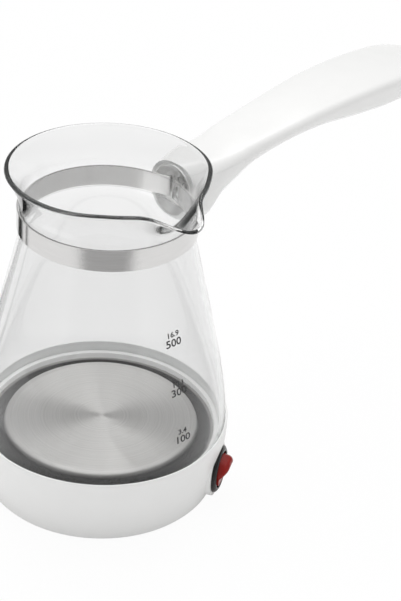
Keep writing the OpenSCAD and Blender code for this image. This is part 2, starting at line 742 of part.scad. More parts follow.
// Outline of one end of the band, anticlockwise; its root lies inside the round strip
root_in = 0.02;
band_end = concat([polar(band_in + root_in, leave_az + 1.5), polar(band_in + root_in, leave_az)],
    arc([bend_x, bend_y], bend_r + band_t, 180 + leave_az, 270, 5),
    [[tab_end, tab_y], [tab_end, tab_y + band_t]],
    arc([bend_x, bend_y], bend_r, 270, 180 + leave_az, 5),
    [polar(band_out - root_in, leave_az), polar(band_out - root_in, leave_az + 1.5)]);

module band_outline() {
    difference() {
        circle(r = band_out);
        circle(r = band_in);
        polygon([[0, 0], polar(2 * band_out, leave_az), polar(2 * band_out, -leave_az)]);
    }
    polygon(band_end);
    polygon([for (p = reversed(band_end)) [p[0], -p[1]]]);
}

module neck_band() {
    trim = (band_w - tab_w) / 2;
    color(STEEL) difference() {
        translate([0, 0, band_low]) linear_extrude(band_w) band_outline();
        // the tabs are narrower than the band
        for (z = [band_low - over, band_low + band_w - trim]) translate([tab_x, -tab_y - band_t - over, z])
            cube([tab_end, 2 * (tab_y + band_t + over), trim + over]);
        translate([pin_dist, 0, band_z]) rod_y(pin_r + fit_gap / 2, -tab_y - band_t - over, tab_y + band_t + over);
        // oval hole that gives access to the disc's screw
        translate([0, -disc_screw_y, band_z]) {
            for (z = [-1, 1] * access_h) translate([0, 0, z]) rod_x(access_r, band_in - over, tab_x);
            translate([band_in - over, -access_r, -access_h]) cube([tab_x - band_in + over, 2 * access_r, 2 * access_h]);
        }
    }
}

module band_liner() {
    color([0.8, 0.8, 0.8, 0.7])
        ring(neck_r, band_in, band_low - 0.5, band_low + band_w);
}

/* ---------- Handle ---------- */

pin_r = 1.5;
slot_w = band_t + 2 * fit_gap;
slot_h = tab_w + 2 * fit_gap;
// The two slots that the band's tabs pass through, from x0 to x1
module tab_slots(x0, x1) {
    for (s = [-1, 1]) translate([x0, s * (tab_y + band_t / 2) - slot_w / 2, band_z - slot_h / 2])
        cube([x1 - x0, slot_w, slot_h]);
}

// The dished disc: its rim stands towards the jug, its flat middle lies in the handle's root
dish_flat_r = 8;
disc_z = band_z - disc_low;
dish_x = disc_x + dish_depth;
dish_back = root_x + dish_depth;
// A shape turned about the handle's axis, given as radius and distance
module turned_x(line) {
    translate([0, 0, disc_z]) rotate([0, 90, 0]) rotate_extrude() polygon(line);
}

module handle_disc() {
    r = disc_d / 2;
    color(STEEL) difference() {
        turned_x([[0, dish_x], [dish_flat_r, dish_x], [r - 1.1, disc_x + 0.3], [r - 0.6, disc_x], [r - 0.2, disc_x + 0.1],
            [r, disc_x + 0.4], [r, root_x], [dish_flat_r + 0.3, dish_back], [0, dish_back]]);
        tab_slots(disc_x - over, dish_back + over);
        translate([0, -disc_screw_y, band_z]) rod_x(disc_screw_r + 0.1, disc_x - over, dish_back + over);
    }
}

// Room for the disc in the handle's root
module dish_room() {
    turned_x([[0, root_x - over], [disc_d / 2, root_x - over], [disc_d / 2, root_x + run_gap],
        [dish_flat_r + 0.3, dish_back + run_gap], [0, dish_back + run_gap]]);
}

disc_screw_r = 1.3;
disc_screw_in = 5.9;
disc_head_r = 1.9;
disc_screw_y = 5.5;
access_r = 1.4;
access_h = 1.3;
module disc_screw() {
    color(STEEL) translate([0, -disc_screw_y, band_z]) difference() {
        union() {
            rod_x(disc_screw_r, dish_x - 1, dish_back + disc_screw_in);
            rod_x(disc_head_r, dish_x - 1.2, dish_x);
            translate([dish_x - 2, 0, 0]) rotate([0, 90, 0]) cylinder(r1 = disc_head_r - 0.6, r2 = disc_head_r, h = 0.8);
        }
        // cross recess
        for (a = [0, 90]) rotate([a, 0, 0]) translate([dish_x - 2 - over, -0.35, -1.3]) cube([1.1 + over, 0.7, 2.6]);
    }
}

pin_dist = root_x + 12.3;
// Driving stations of the handle: distance, width, top, depth, corner radius
root_d = disc_d + 1.2;
root_top = disc_z + root_d / 2;
line_z = root_top + disc_low;
stations = [
    [root_x,           root_d, root_top,     root_d, root_d / 2],
    [root_x + 3.7,     root_d, root_top,     root_d, root_d / 2],
    [root_x + 8.2,     25.4,   line_z - 1.5, 22.8,   10.8],
    [root_x + 15.7,    25.6,   line_z - 1.4, 15.5,   6.8],
    [root_x + 25.7,    26.6,   line_z - 1.8, 9.8,    4],
    [root_x + 37.7,    27.8,   line_z - 1.3, 7.4,    3],
    [root_x + 58.7,    28.6,   line_z + 1.6, 7.2,    2.8],
    [root_x + 82.7,    31.4,   line_z + 4.7, 8.6,    3],
    [root_x + 107.7,   35.4,   line_z + 6.3, 11,     3.2],
    [root_x + 132.7,   38.2,   line_z + 6.4, 12.6,   3.4],
    [handle_reach - 32, 39,    line_z + 5.3, 11.8,   3.6],
    [handle_reach - 15, 37.5,  line_z + 3.9, 10.2,   3.8],
    [handle_reach,     34,     line_z + 2.1, 8.4,    4]];
// Smooth value between the stations (Catmull-Rom)
function station(i) = stations[max(0, min(len(stations) - 1, i))];
function blend(u) = let (i = min(floor(u), len(stations) - 2), t = u - i,
        p0 = station(i - 1), p1 = station(i), p2 = station(i + 1), p3 = station(i + 2))
    0.5 * (2 * p1 + t * (p2 - p0) + t * t * (2 * p0 - 5 * p1 + 4 * p2 - p3) + t * t * t * (3 * p1 - p0 - 3 * p2 + p3));
end_round = 15;
// Length of the root before the handle becomes hollow
root_solid = 8;
// Narrowing of the handle over its rounded end
function end_share(x, inset) = let (c = handle_reach - inset - end_round, d = max(0, x - c) / end_round)
    sqrt(max(0, 1 - pow(min(d, 1), 2)));

// One section: a rounded rectangle with a crowned top, anticlockwise seen from the far end
corner_steps = 4;
function section(s, inset) = let (
        e = end_share(s[0], inset), w = (s[1] / 2 - inset) * (0.12 + 0.88 * e),
        top = s[2] - inset, h = s[3] - 2 * inset, c = max(0.4, min(s[4] - inset, w - 0.2, h / 2 - 0.05)),
        crown = min(max(0, h - 2 * c - 0.1),
            inset == 0 ? handle_crown * min(1, max(0, (s[0] - root_x) / 30)) : handle_crown),
        flat = concat(
            arc([w - c, top - h + c], c, -90, 0, corner_steps),
            arc([w - c, top - c], c, 0, 90, corner_steps),
            [[(w - c) / 2, top], [0, top], [-(w - c) / 2, top]],
            arc([-w + c, top - c], c, 90, 180, corner_steps),
            arc([-w + c, top - h + c], c, 180, 270, corner_steps)))
    [for (p = flat) [s[0], p[0], p[1] - (p[1] > top - h / 2 ? crown * pow(p[0] / w, 2) : 0)]];

sub = 2;
handle_us = [for (i = [0:(len(stations) - 1) * sub - 1]) i / sub];
end_xs = [for (a = [15:15:75]) sin(a)];
module handle_solid(inset, x_from) {
    tip = handle_reach - inset;
    body = [for (u = handle_us) let (s = blend(u)) if (s[0] >= x_from && s[0] < tip - end_round) section(s, inset)];
    last = [for (k = concat([0], end_xs, [1])) let (x = tip - end_round + end_round * k,
        s = blend(len(stations) - 1 - (handle_reach - x) / 17)) section([x, s[1], s[2], s[3], s[4]], inset)];
    skin(concat(body, last));
}

// Everything that belongs to the lower moulding, in side view, lowered by drop
seam_x = root_x + 30.7;
skirt_low = handle_wall + 0.3;
skirt_high = 2.6;
lines = [for (u = concat(handle_us, [len(stations) - 1])) blend(u)];
function top_at(x) = lookup(x, [for (s = lines) [s[0], s[2]]]);
function floor_at(x) = lookup(x, [for (s = lines) [s[0], s[2] - s[3]]]);
module lower_region(drop) {
    far_x = handle_reach + 5;
    translate([-drop, 0, -drop]) rotate([90, 0, 0]) translate([0, 0, -40]) linear_extrude(80) polygon(concat(
        [[root_x - 5, 0], [root_x - 5, top_at(root_x) - handle_crown - skirt_high]],
        [for (i = [0:6]) let (x = root_x + (seam_x - root_x) * i / 6) [x, top_at(x) - handle_crown - skirt_high]],
        [for (x = [seam_x:8:handle_reach]) [x + 0.01, floor_at(x) + skirt_low]],
        [[far_x, floor_at(far_x) + skirt_low], [far_x, 0]]));
}

// Screws that join the mouldings from below: places, and the level where boss and post meet
near_screw = 22.7;
far_screw = 42;
handle_screw_xs = [root_x + near_screw, handle_reach - far_screw];
post_wide = 2.7;
function meet_z(x) = floor_at(x) + handle_wall + 2.2;
head_sink = 1.6;
lug_half = 3.6;
pin_out = tab_y + band_t + 2.4;

module handle_walls() {
    difference() {
        handle_solid(0, 0);
        handle_solid(handle_wall, root_x + root_solid);
    }
}

module handle_shell() {
    color(WHITE) difference() {
        union() {
            difference() {
                handle_walls();
                lower_region(0);
            }
            intersection() {
                handle_solid(0, 0);
                for (x = handle_screw_xs) translate([x, 0, meet_z(x)]) cylinder(r = post_wide, h = 20);
            }
        }
        dish_room();
        for (x = handle_screw_xs) translate([x, 0, meet_z(x) - over])
            cylinder(r = 1.2 + run_gap, h = top_at(x) - meet_z(x) - handle_wall + over);
    }
}

module handle_cover() {
    color(WHITE) difference() {
        union() {
            intersection() {
                handle_walls();
                lower_region(seam);
            }
            intersection() {
                handle_solid(0, 0);
                union() {
                    for (x = handle_screw_xs) translate([x, 0, meet_z(x) - 20]) cylinder(r = post_wide + 1.5, h = 20);
                    translate([root_x, -pin_out, band_z - 20])
                        cube([pin_dist - root_x + lug_half, 2 * pin_out, 20 + lug_half]);
                }
            }
        }
        dish_room();
        // slots of the band's tabs, the pin through them, and the disc's screw
        tab_slots(root_x - over, tab_end + fit_gap);
        translate([pin_dist, 0, band_z]) rod_y(pin_r + run_gap, -pin_out - 1, pin_out + 1);
        translate([0, -disc_screw_y, band_z]) rod_x(disc_screw_r + run_gap, root_x - over, dish_back + disc_screw_in + 0.6);
        for (x = handle_screw_xs) {
            translate([x, 0, floor_at(x) - 10]) cylinder(r = 1.5, h = 20);
            translate([x, 0, floor_at(x) - 10]) cylinder(r = 2.8, h = 10 + head_sink);
        }
    }
}

module tang_pin() {
    color(STEEL) translate([pin_dist, 0, band_z]) rod_y(pin_r, -pin_out + fit_gap, pin_out - fit_gap);
}

module handle_screws() {
    color(STEEL) for (x = handle_screw_xs) translate([x, 0, floor_at(x) + head_sink - 1.4])
        screw(2.6, 1.4, 1.2, top_at(x) - handle_wall - floor_at(x) - 1);
}

glass_jug();
seal_ring();
heater_plate();
heat_spreader();
heating_element();
element_terminals();
clamp_studs();
clamp_ring();
clamp_nuts();
thermostat();
thermostat_bracket();
thermostat_screws();
thermal_fuse();
fuse_clip();
base_housing();
bottom_cover();
cover_screws();
foot_ring();
cord_bush();
terminal_block();
terminal_screws();
switch_housing();
switch_rocker();
switch_plunger();
switch_spring();
contact_lever();
switch_terminals();
neon_lamp();
neck_band();
band_liner();
handle_disc();
disc_screw();
tang_pin();
handle_shell();
handle_cover();
handle_screws();
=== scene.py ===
"""Electric glass coffee pot: its pieces, finishes, light and camera.

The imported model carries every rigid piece. This script adds the ones that need a finer surface, which
are the blown jug, the marks printed on it and the two handle mouldings, and gives every piece the
finish of its real material. Sizes are in millimetres and angles in degrees unless a name says otherwise.
"""

from __future__ import annotations

import logging
import math
from dataclasses import dataclass
from enum import Enum
from typing import Any, Sequence

import bpy
from mathutils import Euler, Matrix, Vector


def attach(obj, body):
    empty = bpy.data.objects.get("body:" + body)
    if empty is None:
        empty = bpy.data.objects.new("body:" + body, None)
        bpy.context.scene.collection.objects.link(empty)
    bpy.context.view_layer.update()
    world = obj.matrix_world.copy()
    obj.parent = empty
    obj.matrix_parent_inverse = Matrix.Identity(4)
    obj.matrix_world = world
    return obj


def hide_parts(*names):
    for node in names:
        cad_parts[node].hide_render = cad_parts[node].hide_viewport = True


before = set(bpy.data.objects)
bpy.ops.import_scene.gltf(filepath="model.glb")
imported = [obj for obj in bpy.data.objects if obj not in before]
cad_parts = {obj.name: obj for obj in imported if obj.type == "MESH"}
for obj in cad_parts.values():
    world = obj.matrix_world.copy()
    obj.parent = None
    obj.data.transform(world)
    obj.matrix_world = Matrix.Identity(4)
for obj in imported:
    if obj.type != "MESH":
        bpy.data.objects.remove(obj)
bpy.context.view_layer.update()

LOG = logging.getLogger("coffee_pot")
MM = 0.001
MERGE_M = 1e-7  # corners nearer than this are one
HALVINGS = 40  # steps of a search for a place on a curve

Point = tuple[float, float, float]
Flat = tuple[float, float]
Colour = tuple[float, float, float, float]

WHITE: Colour = (1.0, 1.0, 1.0, 1.0)


class Body(Enum):
    """Rigid bodies of the pot that new pieces are fixed to."""

    POT = "pot"


# ---------------------------------------------------------------- small tools


def linear(code: str) -> Colour:
    """Turn an sRGB hex colour into the linear one that a shader takes.

    Args:
        code: Colour such as "#f0f0ef".

    Returns:
        Red, green, blue and a full alpha.
    """
    parts = [int(code[i:i + 2], 16) / 255 for i in (1, 3, 5)]
    red, green, blue = (c / 12.92 if c <= 0.04045 else ((c + 0.055) / 1.055) ** 2.4 for c in parts)
    return red, green, blue, 1.0


def dimmed(code: str, share: float) -> Colour:
    """Return a hex colour as a linear one with a share of its light."""
    red, green, blue, alpha = linear(code)
    return red * share, green * share, blue * share, alpha


def per_metre(size: float) -> float:
    """Return the scale of a pattern whose features have a size."""
    return 1 / (size * MM)


def fresh(block: bpy.types.Material | bpy.types.World) -> bpy.types.NodeTree:
    """Empty the node tree of a new material or world.

    Args:
        block: The material or world.

    Returns:
        Its node tree.
    """
    block.use_nodes = True
    block.node_tree.nodes.clear()
    return block.node_tree


def join(tree: bpy.types.NodeTree, source: bpy.types.Node | bpy.types.NodeSocket,
         target: bpy.types.NodeSocket) -> None:
    """Link two nodes.

    Args:
        tree: Node tree of both.
        source: An output, or a node for its first output.
        target: The input that takes it.
    """
    output = source.outputs[0] if isinstance(source, bpy.types.Node) else source
    tree.links.new(output, target)


def add(tree: bpy.types.NodeTree, kind: str, values: dict[Any, Any] | None = None,
        links: dict[Any, bpy.types.Node | bpy.types.NodeSocket] | None = None,
        **settings: Any) -> bpy.types.Node:
    """Add one node to a tree.

    Args:
        tree: Node tree of a material or the world.
        kind: Blender's name for the kind of node.
        values: Values of its inputs, by name or number.
        links: What its inputs take, by name or number: an output, or a node for its first output.
        **settings: Its own settings.

    Returns:
        The new node.
    """
    node = tree.nodes.new(kind)
    for name, value in settings.items():
        setattr(node, name, value)
    for name, value in (values or {}).items():
        node.inputs[name].default_value = value
    for name, source in (links or {}).items():
        join(tree, source, node.inputs[name])
    return node


def stops(ramp: bpy.types.Node, places: Sequence[tuple[float, Colour]]) -> bpy.types.Node:
    """Set the stops of a colour ramp.

    Args:
        ramp: The colour ramp node.
        places: Position and colour of each stop, in order.

    Returns:
        The same node.
    """
    band = ramp.color_ramp
    while len(band.elements) < len(places):
        band.elements.new(1.0)
    for element, (place, colour) in zip(band.elements, places):
        element.position = place
        element.color = colour
    return ramp


def polar(radius: float, degrees: float) -> Flat:
    """Return the flat point at a radius and an angle."""
    turn = math.radians(degrees)
    return radius * math.cos(turn), radius * math.sin(turn)


# ---------------------------------------------------------------- modelling by operators


class Bench:
    """The few steps of hand modelling that the pieces share."""

    @staticmethod
    def clear() -> None:
        """Leave object mode with nothing selected."""
        if bpy.context.object and bpy.context.object.mode != "OBJECT":
            bpy.ops.object.mode_set(mode="OBJECT")
        bpy.ops.object.select_all(action="DESELECT")

    @staticmethod
    def pick(piece: bpy.types.Object) -> None:
        """Make one piece the only selected and active one.

        Args:
            piece: The piece.
        """
        Bench.clear()
        piece.select_set(True)
        bpy.context.view_layer.objects.active = piece

    @staticmethod
    def modify(piece: bpy.types.Object, kind: str, **settings: Any) -> None:
        """Add a modifier to a piece and apply it.

        Args:
            piece: The piece.
            kind: Blender's name for the kind of modifier.
            **settings: The modifier's settings.
        """
        Bench.pick(piece)
        modifier = piece.modifiers.new(kind.title(), kind)
        for name, value in settings.items():
            setattr(modifier, name, value)
        bpy.ops.object.modifier_apply(modifier=modifier.name)

    @staticmethod
    def smooth(piece: bpy.types.Object, degrees: float) -> None:
        """Shade a piece smooth, apart from edges sharper than an angle.

        Args:
            piece: The piece.
            degrees: The angle.
        """
        Bench.pick(piece)
        bpy.ops.object.shade_smooth_by_angle(angle=math.radians(degrees))
        Bench.clear()

    @staticmethod
    def opened(name: str, places: Sequence[Point]) -> bpy.types.Object:
        """Name the new primitive, move its corners, and open it in edit mode with all selected.

        Args:
            name: Name of the piece.
            places: Place of each corner, in the primitive's order.

        Returns:
            The piece.
        """
        piece = bpy.context.object
        piece.name = piece.data.name = name
        for vertex, place in zip(piece.data.vertices, places):
            vertex.co = Vector(place) * MM
        bpy.ops.object.mode_set(mode="EDIT")
        bpy.ops.mesh.select_all(action="SELECT")
        return piece

    @staticmethod
    def closed(piece: bpy.types.Object) -> bpy.types.Object:
        """Turn the faces of the opened piece outwards and leave edit mode.

        Args:
            piece: The piece that is open in edit mode.

        Returns:
            The same piece.
        """
        bpy.ops.mesh.select_all(action="SELECT")
        bpy.ops.mesh.normals_make_consistent(inside=False)
        bpy.ops.object.mode_set(mode="OBJECT")
        return piece

    @staticmethod
    def turned(name: str, outline: Sequence[Flat], steps: int) -> bpy.types.Object:
        """Spin a closed outline about the jug's axis.

        Args:
            name: Name of the piece.
            outline: Radius and height of each corner, in order round the outline.
            steps: Steps of the full turn.

        Returns:
            The closed piece.
        """
        Bench.clear()
        bpy.ops.mesh.primitive_circle_add(vertices=len(outline), radius=1.0)
        piece = Bench.opened(name, [(radius, 0.0, height) for radius, height in outline])
        bpy.ops.mesh.spin(steps=steps, angle=math.tau, center=(0, 0, 0), axis=(0, 0, 1))
        bpy.ops.mesh.select_all(action="SELECT")
        bpy.ops.mesh.remove_doubles(threshold=MERGE_M)
        return Bench.closed(piece)

    @staticmethod
    def lofted(name: str, rings: Sequence[Sequence[Point]]) -> bpy.types.Object:
        """Loft a skin over rings of points and cap both ends.

        Args:
            name: Name of the piece.
            rings: Rings with the same number of points each.

        Returns:
            The closed piece.
        """
        Bench.clear()
        around, along = len(rings[0]), len(rings)
        bpy.ops.mesh.primitive_grid_add(x_subdivisions=around, y_subdivisions=along - 1, size=2.0)
        piece = Bench.opened(name, [ring[k % around] for ring in rings for k in range(around + 1)])
        bpy.ops.mesh.remove_doubles(threshold=MERGE_M)
        bpy.ops.mesh.select_all(action="DESELECT")
        bpy.ops.mesh.select_mode(type="EDGE")
        bpy.ops.mesh.select_non_manifold(extend=False)
        bpy.ops.mesh.fill_holes(sides=0)
        bpy.ops.mesh.select_mode(type="VERT")
        return Bench.closed(piece)

    @staticmethod
    def slab(name: str, outline: Sequence[Flat], half: float) -> bpy.types.Object:
        """Extrude a side-view outline across the handle.

        Args:
            name: Name of the piece.
            outline: Distance and height of each corner.
            half: Half of the slab's width.

        Returns:
            The closed slab.
        """
        Bench.clear()
        bpy.ops.mesh.primitive_circle_add(vertices=len(outline), radius=1.0, fill_type="NGON")
        piece = Bench.opened(name, [(along, -half, height) for along, height in outline])
        bpy.ops.mesh.extrude_region_move(TRANSFORM_OT_translate={"value": (0, 2 * half * MM, 0)})
        return Bench.closed(piece)

    @staticmethod
    def rod(radius: float, start: Point, end: Point) -> bpy.types.Object:
        """Make a round rod, used as a tool or a boss.

        Args:
            radius: Its radius.
            start: Middle of one end.
            end: Middle of the other end.

        Returns:
            The rod.
        """
        Bench.clear()
        a, b = Vector(start), Vector(end)
        bpy.ops.mesh.primitive_cylinder_add(
            vertices=48, radius=radius * MM, depth=(b - a).length * MM, location=(a + b) / 2 * MM,
            rotation=(b - a).to_track_quat("Z", "Y").to_euler())
        return bpy.context.object

    @staticmethod
    def box(low: Point, high: Point) -> bpy.types.Object:
        """Make a box, used as a tool, a boss or a card.

        Args:
            low: Its lowest corner.
            high: Its highest corner.

        Returns:
            The box.
        """
        Bench.clear()
        a, b = Vector(low), Vector(high)
        bpy.ops.mesh.primitive_cube_add(size=1.0, location=(a + b) / 2 * MM, scale=(b - a) * MM)
        bpy.ops.object.transform_apply(location=False, rotation=False, scale=True)
        return bpy.context.object

    @staticmethod
    def copy(piece: bpy.types.Object, name: str) -> bpy.types.Object:
        """Copy a piece with its mesh.

        Args:
            piece: The piece.
            name: Name of the copy.

        Returns:
            The copy.
        """
        twin = piece.copy()
        twin.data = piece.data.copy()
        twin.name = twin.data.name = name
        bpy.context.scene.collection.objects.link(twin)
        return twin

    @staticmethod
    def cut(piece: bpy.types.Object, tool: bpy.types.Object, operation: str = "DIFFERENCE") -> None:
        """Cut a piece by another, or join them, or keep what both share."""
        Bench.modify(piece, "BOOLEAN", object=tool, operation=operation, solver="EXACT")

    @staticmethod
    def drill(piece: bpy.types.Object, *tools: bpy.types.Object) -> None:
        """Cut tools out of a piece and delete them.

        Args:
            piece: The piece.
            *tools: The tools, in the order of their cuts.
        """
        for tool in tools:
            Bench.cut(piece, tool)
            Bench.drop(tool)

    @staticmethod
    def drop(*pieces: bpy.types.Object) -> None:
        """Delete pieces that only served as tools."""
        for piece in pieces:
            bpy.data.objects.remove(piece)


def dress(piece: bpy.types.Object, material: bpy.types.Material) -> None:
    """Give a piece one material all over.

    Args:
        piece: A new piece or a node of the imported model.
        material: The material.
    """
    if not piece.material_slots:
        piece.data.materials.append(material)
    for slot in piece.material_slots:
        slot.material = material


def seat(piece: bpy.types.Object, body: Body) -> bpy.types.Object:
    """Fix a new piece to its body.

    Args:
        piece: The new piece.
        body: The body it moves with.

    Returns:
        The same piece.
    """
    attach(piece, body.value)
    return piece


# ---------------------------------------------------------------- finishes


@dataclass(frozen=True)
class Draft:
    """A material while it is made: its node tree, its main shader and the piece's own coordinates."""

    tree: bpy.types.NodeTree
    shader: bpy.types.Node
    place: bpy.types.NodeSocket

    def feed(self, name: str, source: bpy.types.Node | bpy.types.NodeSocket) -> None:
        """Lead an output, or a node's first output, to an input of the main shader."""
        join(self.tree, source, self.shader.inputs[name])

    def fix(self, name: str, value: float) -> None:
        """Set an input of the main shader that is the same all over the surface."""
        self.shader.inputs[name].default_value = value


@dataclass(frozen=True)
class Finish:
    """A surface: what it is made of and how it was made."""

    name: str
    colour: str
    roughness: float = 0.4
    metallic: float = 0.0

    def material(self) -> bpy.types.Material:
        """Make the material, or find it again.

        Returns:
            The finished material.
        """
        known = bpy.data.materials.get(self.name)
        if known is not None:
            return known
        material = bpy.data.materials.new(self.name)
        tree = fresh(material)
        shader = add(tree, "ShaderNodeBsdfPrincipled", {
            "Base Color": linear(self.colour), "Roughness": self.roughness, "Metallic": self.metallic})
        draft = Draft(tree, shader, add(tree, "ShaderNodeTexCoord").outputs["Object"])
        self.surface(draft)
        self.detail(draft)
        return material

    def surface(self, draft: Draft) -> None:
        """Lead the main shader to the material's output."""
        add(draft.tree, "ShaderNodeOutputMaterial", links={"Surface": draft.shader})

    def detail(self, draft: Draft) -> None:
        """Add the surface's own detail, which each kind of finish does in its way."""

    def tones(self, draft: Draft, pattern: bpy.types.Node, dark: float,
              low: float = 0.3, high: float = 0.7) -> bpy.types.Node:
        """Turn a pattern into tones between the colour and a darker one.

        Args:
            draft: The material.
            pattern: Node whose first output is the pattern, from 0 to 1.
            dark: The darker tone's share of light.
            low: Value of the pattern up to which the tone is the darker one.
            high: Value from which it is the full colour.

        Returns:
            The node of the tones.
        """
        ramp = add(draft.tree, "ShaderNodeValToRGB", links={"Fac": pattern})
        return stops(ramp, [(low, dimmed(self.colour, dark)), (high, linear(self.colour))])


@dataclass(frozen=True)
class Moulding(Finish):
    """Injection-moulded plastic: a faint flow of tone and the fine ripple of the mould."""

    ripple_mm: float = 9.0
    ripple_depth_mm: float = 0.2
    ripple: float = 0.02
    grain_mm: float = 0.35
    grain_depth_mm: float = 0.05
    grain: float = 0.0
    tone: float = 0.02
    specular: float = 0.5

    def detail(self, draft: Draft) -> None:
        """Add the ripple, the grain and the flow of tone.

        Args:
            draft: The material.
        """
        tree, place = draft.tree, {"Vector": draft.place}
        draft.fix("Specular IOR Level", self.specular)
        ripple = add(tree, "ShaderNodeTexNoise", {"Scale": per_metre(self.ripple_mm), "Detail": 1.0}, place)
        draft.feed("Base Color", self.tones(draft, ripple, 1 - self.tone))
        bump = add(tree, "ShaderNodeBump", {"Strength": self.ripple, "Distance": self.ripple_depth_mm * MM},
                   {"Height": ripple})
        if self.grain:
            grain = add(tree, "ShaderNodeTexNoise", {"Scale": per_metre(self.grain_mm), "Detail": 2.0}, place)
            bump = add(tree, "ShaderNodeBump", {"Strength": self.grain, "Distance": self.grain_depth_mm * MM},
                       {"Height": grain, "Normal": bump})
        draft.feed("Normal", bump)


@dataclass(frozen=True)
class Tinted(Moulding):
    """See-through tinted plastic or glass, as of a lit rocker."""

    clear: float = 0.35
    ior: float = 1.49

    def detail(self, draft: Draft) -> None:
        """Let part of the light through the tint.

        Args:
            draft: The material.
        """
        super().detail(draft)
        draft.fix("Transmission Weight", self.clear)
        draft.fix("IOR", self.ior)


@dataclass(frozen=True)
class Metal(Finish):
    """Plated, drawn or cast metal: small changes of gloss over a fine grain."""

    metallic: float = 1.0
    grain_mm: float = 0.6
    grain_depth_mm: float = 0.05
    grain: float = 0.05
    uneven: float = 0.12

    def detail(self, draft: Draft) -> None:
        """Vary the gloss and raise the grain.

        Args:
            draft: The material.
        """
        noise = add(draft.tree, "ShaderNodeTexNoise", {"Scale": per_metre(self.grain_mm), "Detail": 3.0},
                    {"Vector": draft.place})
        draft.feed("Roughness", add(draft.tree, "ShaderNodeMapRange", {
            "From Min": 0.3, "From Max": 0.7, "To Min": self.roughness - self.uneven / 2,
            "To Max": self.roughness + self.uneven / 2}, {"Value": noise}))
        self.relief(draft, {"Height": noise})

    def relief(self, draft: Draft, form: dict[str, bpy.types.Node]) -> None:
        """Raise the surface's grain.

        Args:
            draft: The material.
            form: Nodes for the bump's Height and, where the grain lies on another form, its Normal.
        """
        draft.feed("Normal", add(draft.tree, "ShaderNodeBump", {
            "Strength": self.grain, "Distance": self.grain_depth_mm * MM}, form))

    def streak(self, draft: Draft, spin: float, axis: str) -> None:
        """Spread the highlight across fine lines that run round an axis.

        Args:
            draft: The material.
            spin: How strongly it spreads, from 0 to 1.
            axis: X, Y or Z of the piece's own coordinates.
        """
        draft.feed("Tangent", add(draft.tree, "ShaderNodeTangent", direction_type="RADIAL", axis=axis))
        draft.fix("Anisotropic", spin)
        draft.fix("Anisotropic Rotation", 0.25)


@dataclass(frozen=True)
class TurnedSheet(Metal):
    """Stainless sheet faced on a lathe: fine rings round the middle, so light fans out from it.

    Round the raised middle, whose edge is rolled down, runs a grooved ring whose dark colour is painted
    shade.
    Beyond it lies the flange as it came from the press.
    """

    grain_depth_mm: float = 0.02
    ring_mm: float = 0.8
    ring_dark: float = 0.86
    spin: float = 1.0
    # painted shade: the grooved ring's dark colour stands for the shadow that falls in it
    groove_painted_shade: str = "#2b2a29"
    flange: str = "#b4b3b1"
    groove_dull: float = 0.14
    edge_mm: float = 44.4
    edge_soft_mm: float = 1.0
    groove_w_mm: float = 6.7
    roll_mm: float = 3.0
    roll_drop_mm: float = 0.6

    def detail(self, draft: Draft) -> None:
        """Add the rings, their spread of light, the rolled edge, and the dulled grooved ring with its painted
        shade.

        Args:
            draft: The material.
        """
        tree = draft.tree
        flat = add(tree, "ShaderNodeVectorMath", {1: (1.0, 1.0, 0.0)}, {0: draft.place},
                   operation="MULTIPLY")
        radius = add(tree, "ShaderNodeVectorMath", links={0: flat}, operation="LENGTH").outputs["Value"]
        rings = add(tree, "ShaderNodeTexNoise", {
            "Scale": per_metre(self.ring_mm), "Detail": 3.0, "Roughness": 0.6},
            {"W": radius}, noise_dimensions="1D")
        outer, beyond = (add(tree, "ShaderNodeMapRange", {
            "From Min": start * MM, "From Max": (start + self.edge_soft_mm) * MM}, {"Value": radius})
            for start in (self.edge_mm, self.edge_mm + self.groove_w_mm))
        # the grooved ring is painted dark as shade, and the flange beyond it keeps its own colour
        rest = add(tree, "ShaderNodeMix", {"A": linear(self.groove_painted_shade), "B": linear(self.flange)},
                   {"Factor": beyond}, data_type="RGBA")
        tone = self.tones(draft, rings, self.ring_dark, 0.25, 0.75)
        base = add(tree, "ShaderNodeMix", links={"A": tone, "B": rest.outputs["Result"], "Factor": outer},
                   data_type="RGBA")
        draft.feed("Base Color", base.outputs["Result"])
        draft.feed("Roughness", add(tree, "ShaderNodeMapRange", {
            "To Min": self.roughness, "To Max": self.roughness + self.groove_dull}, {"Value": outer}))
        self.streak(draft, self.spin, "Z")
        roll = add(tree, "ShaderNodeMapRange", {
            "From Min": (self.edge_mm - self.roll_mm) * MM, "From Max": self.edge_mm * MM,
            "To Min": 1.0, "To Max": 0.0}, {"Value": radius}, interpolation_type="SMOOTHSTEP")
        rolled = add(tree, "ShaderNodeBump", {"Strength": 1.0, "Distance": self.roll_drop_mm * MM},
                     {"Height": roll})
        self.relief(draft, {"Height": rings, "Normal": rolled})


class Brush(Enum):
    """Way the brush ran: the axis it ran round, and how much each axis stretches the pattern."""

    ROUND_THE_NECK = ("Z", (0.02, 0.02, 1.0))
    ACROSS_THE_DISC = ("X", (1.0, 0.02, 0.3))


@dataclass(frozen=True)
class BrushedStrip(Metal):
    """Stainless strip or disc with the fine lines of a brush."""

    grain_depth_mm: float = 0.02
    line_mm: float = 0.25
    line_dark: float = 0.9
    spin: float = 0.75
    brush: Brush = Brush.ROUND_THE_NECK

    def detail(self, draft: Draft) -> None:
        """Add the brush lines and their spread of light.

        Args:
            draft: The material.
        """
        axis, stretch = self.brush.value
        along = add(draft.tree, "ShaderNodeMapping", {"Scale": stretch}, {"Vector": draft.place})
        lines = add(draft.tree, "ShaderNodeTexNoise", {"Scale": per_metre(self.line_mm), "Detail": 2.0},
                    {"Vector": along})
        draft.feed("Base Color", self.tones(draft, lines, self.line_dark))
        self.streak(draft, self.spin, axis)
        self.relief(draft, {"Height": lines})


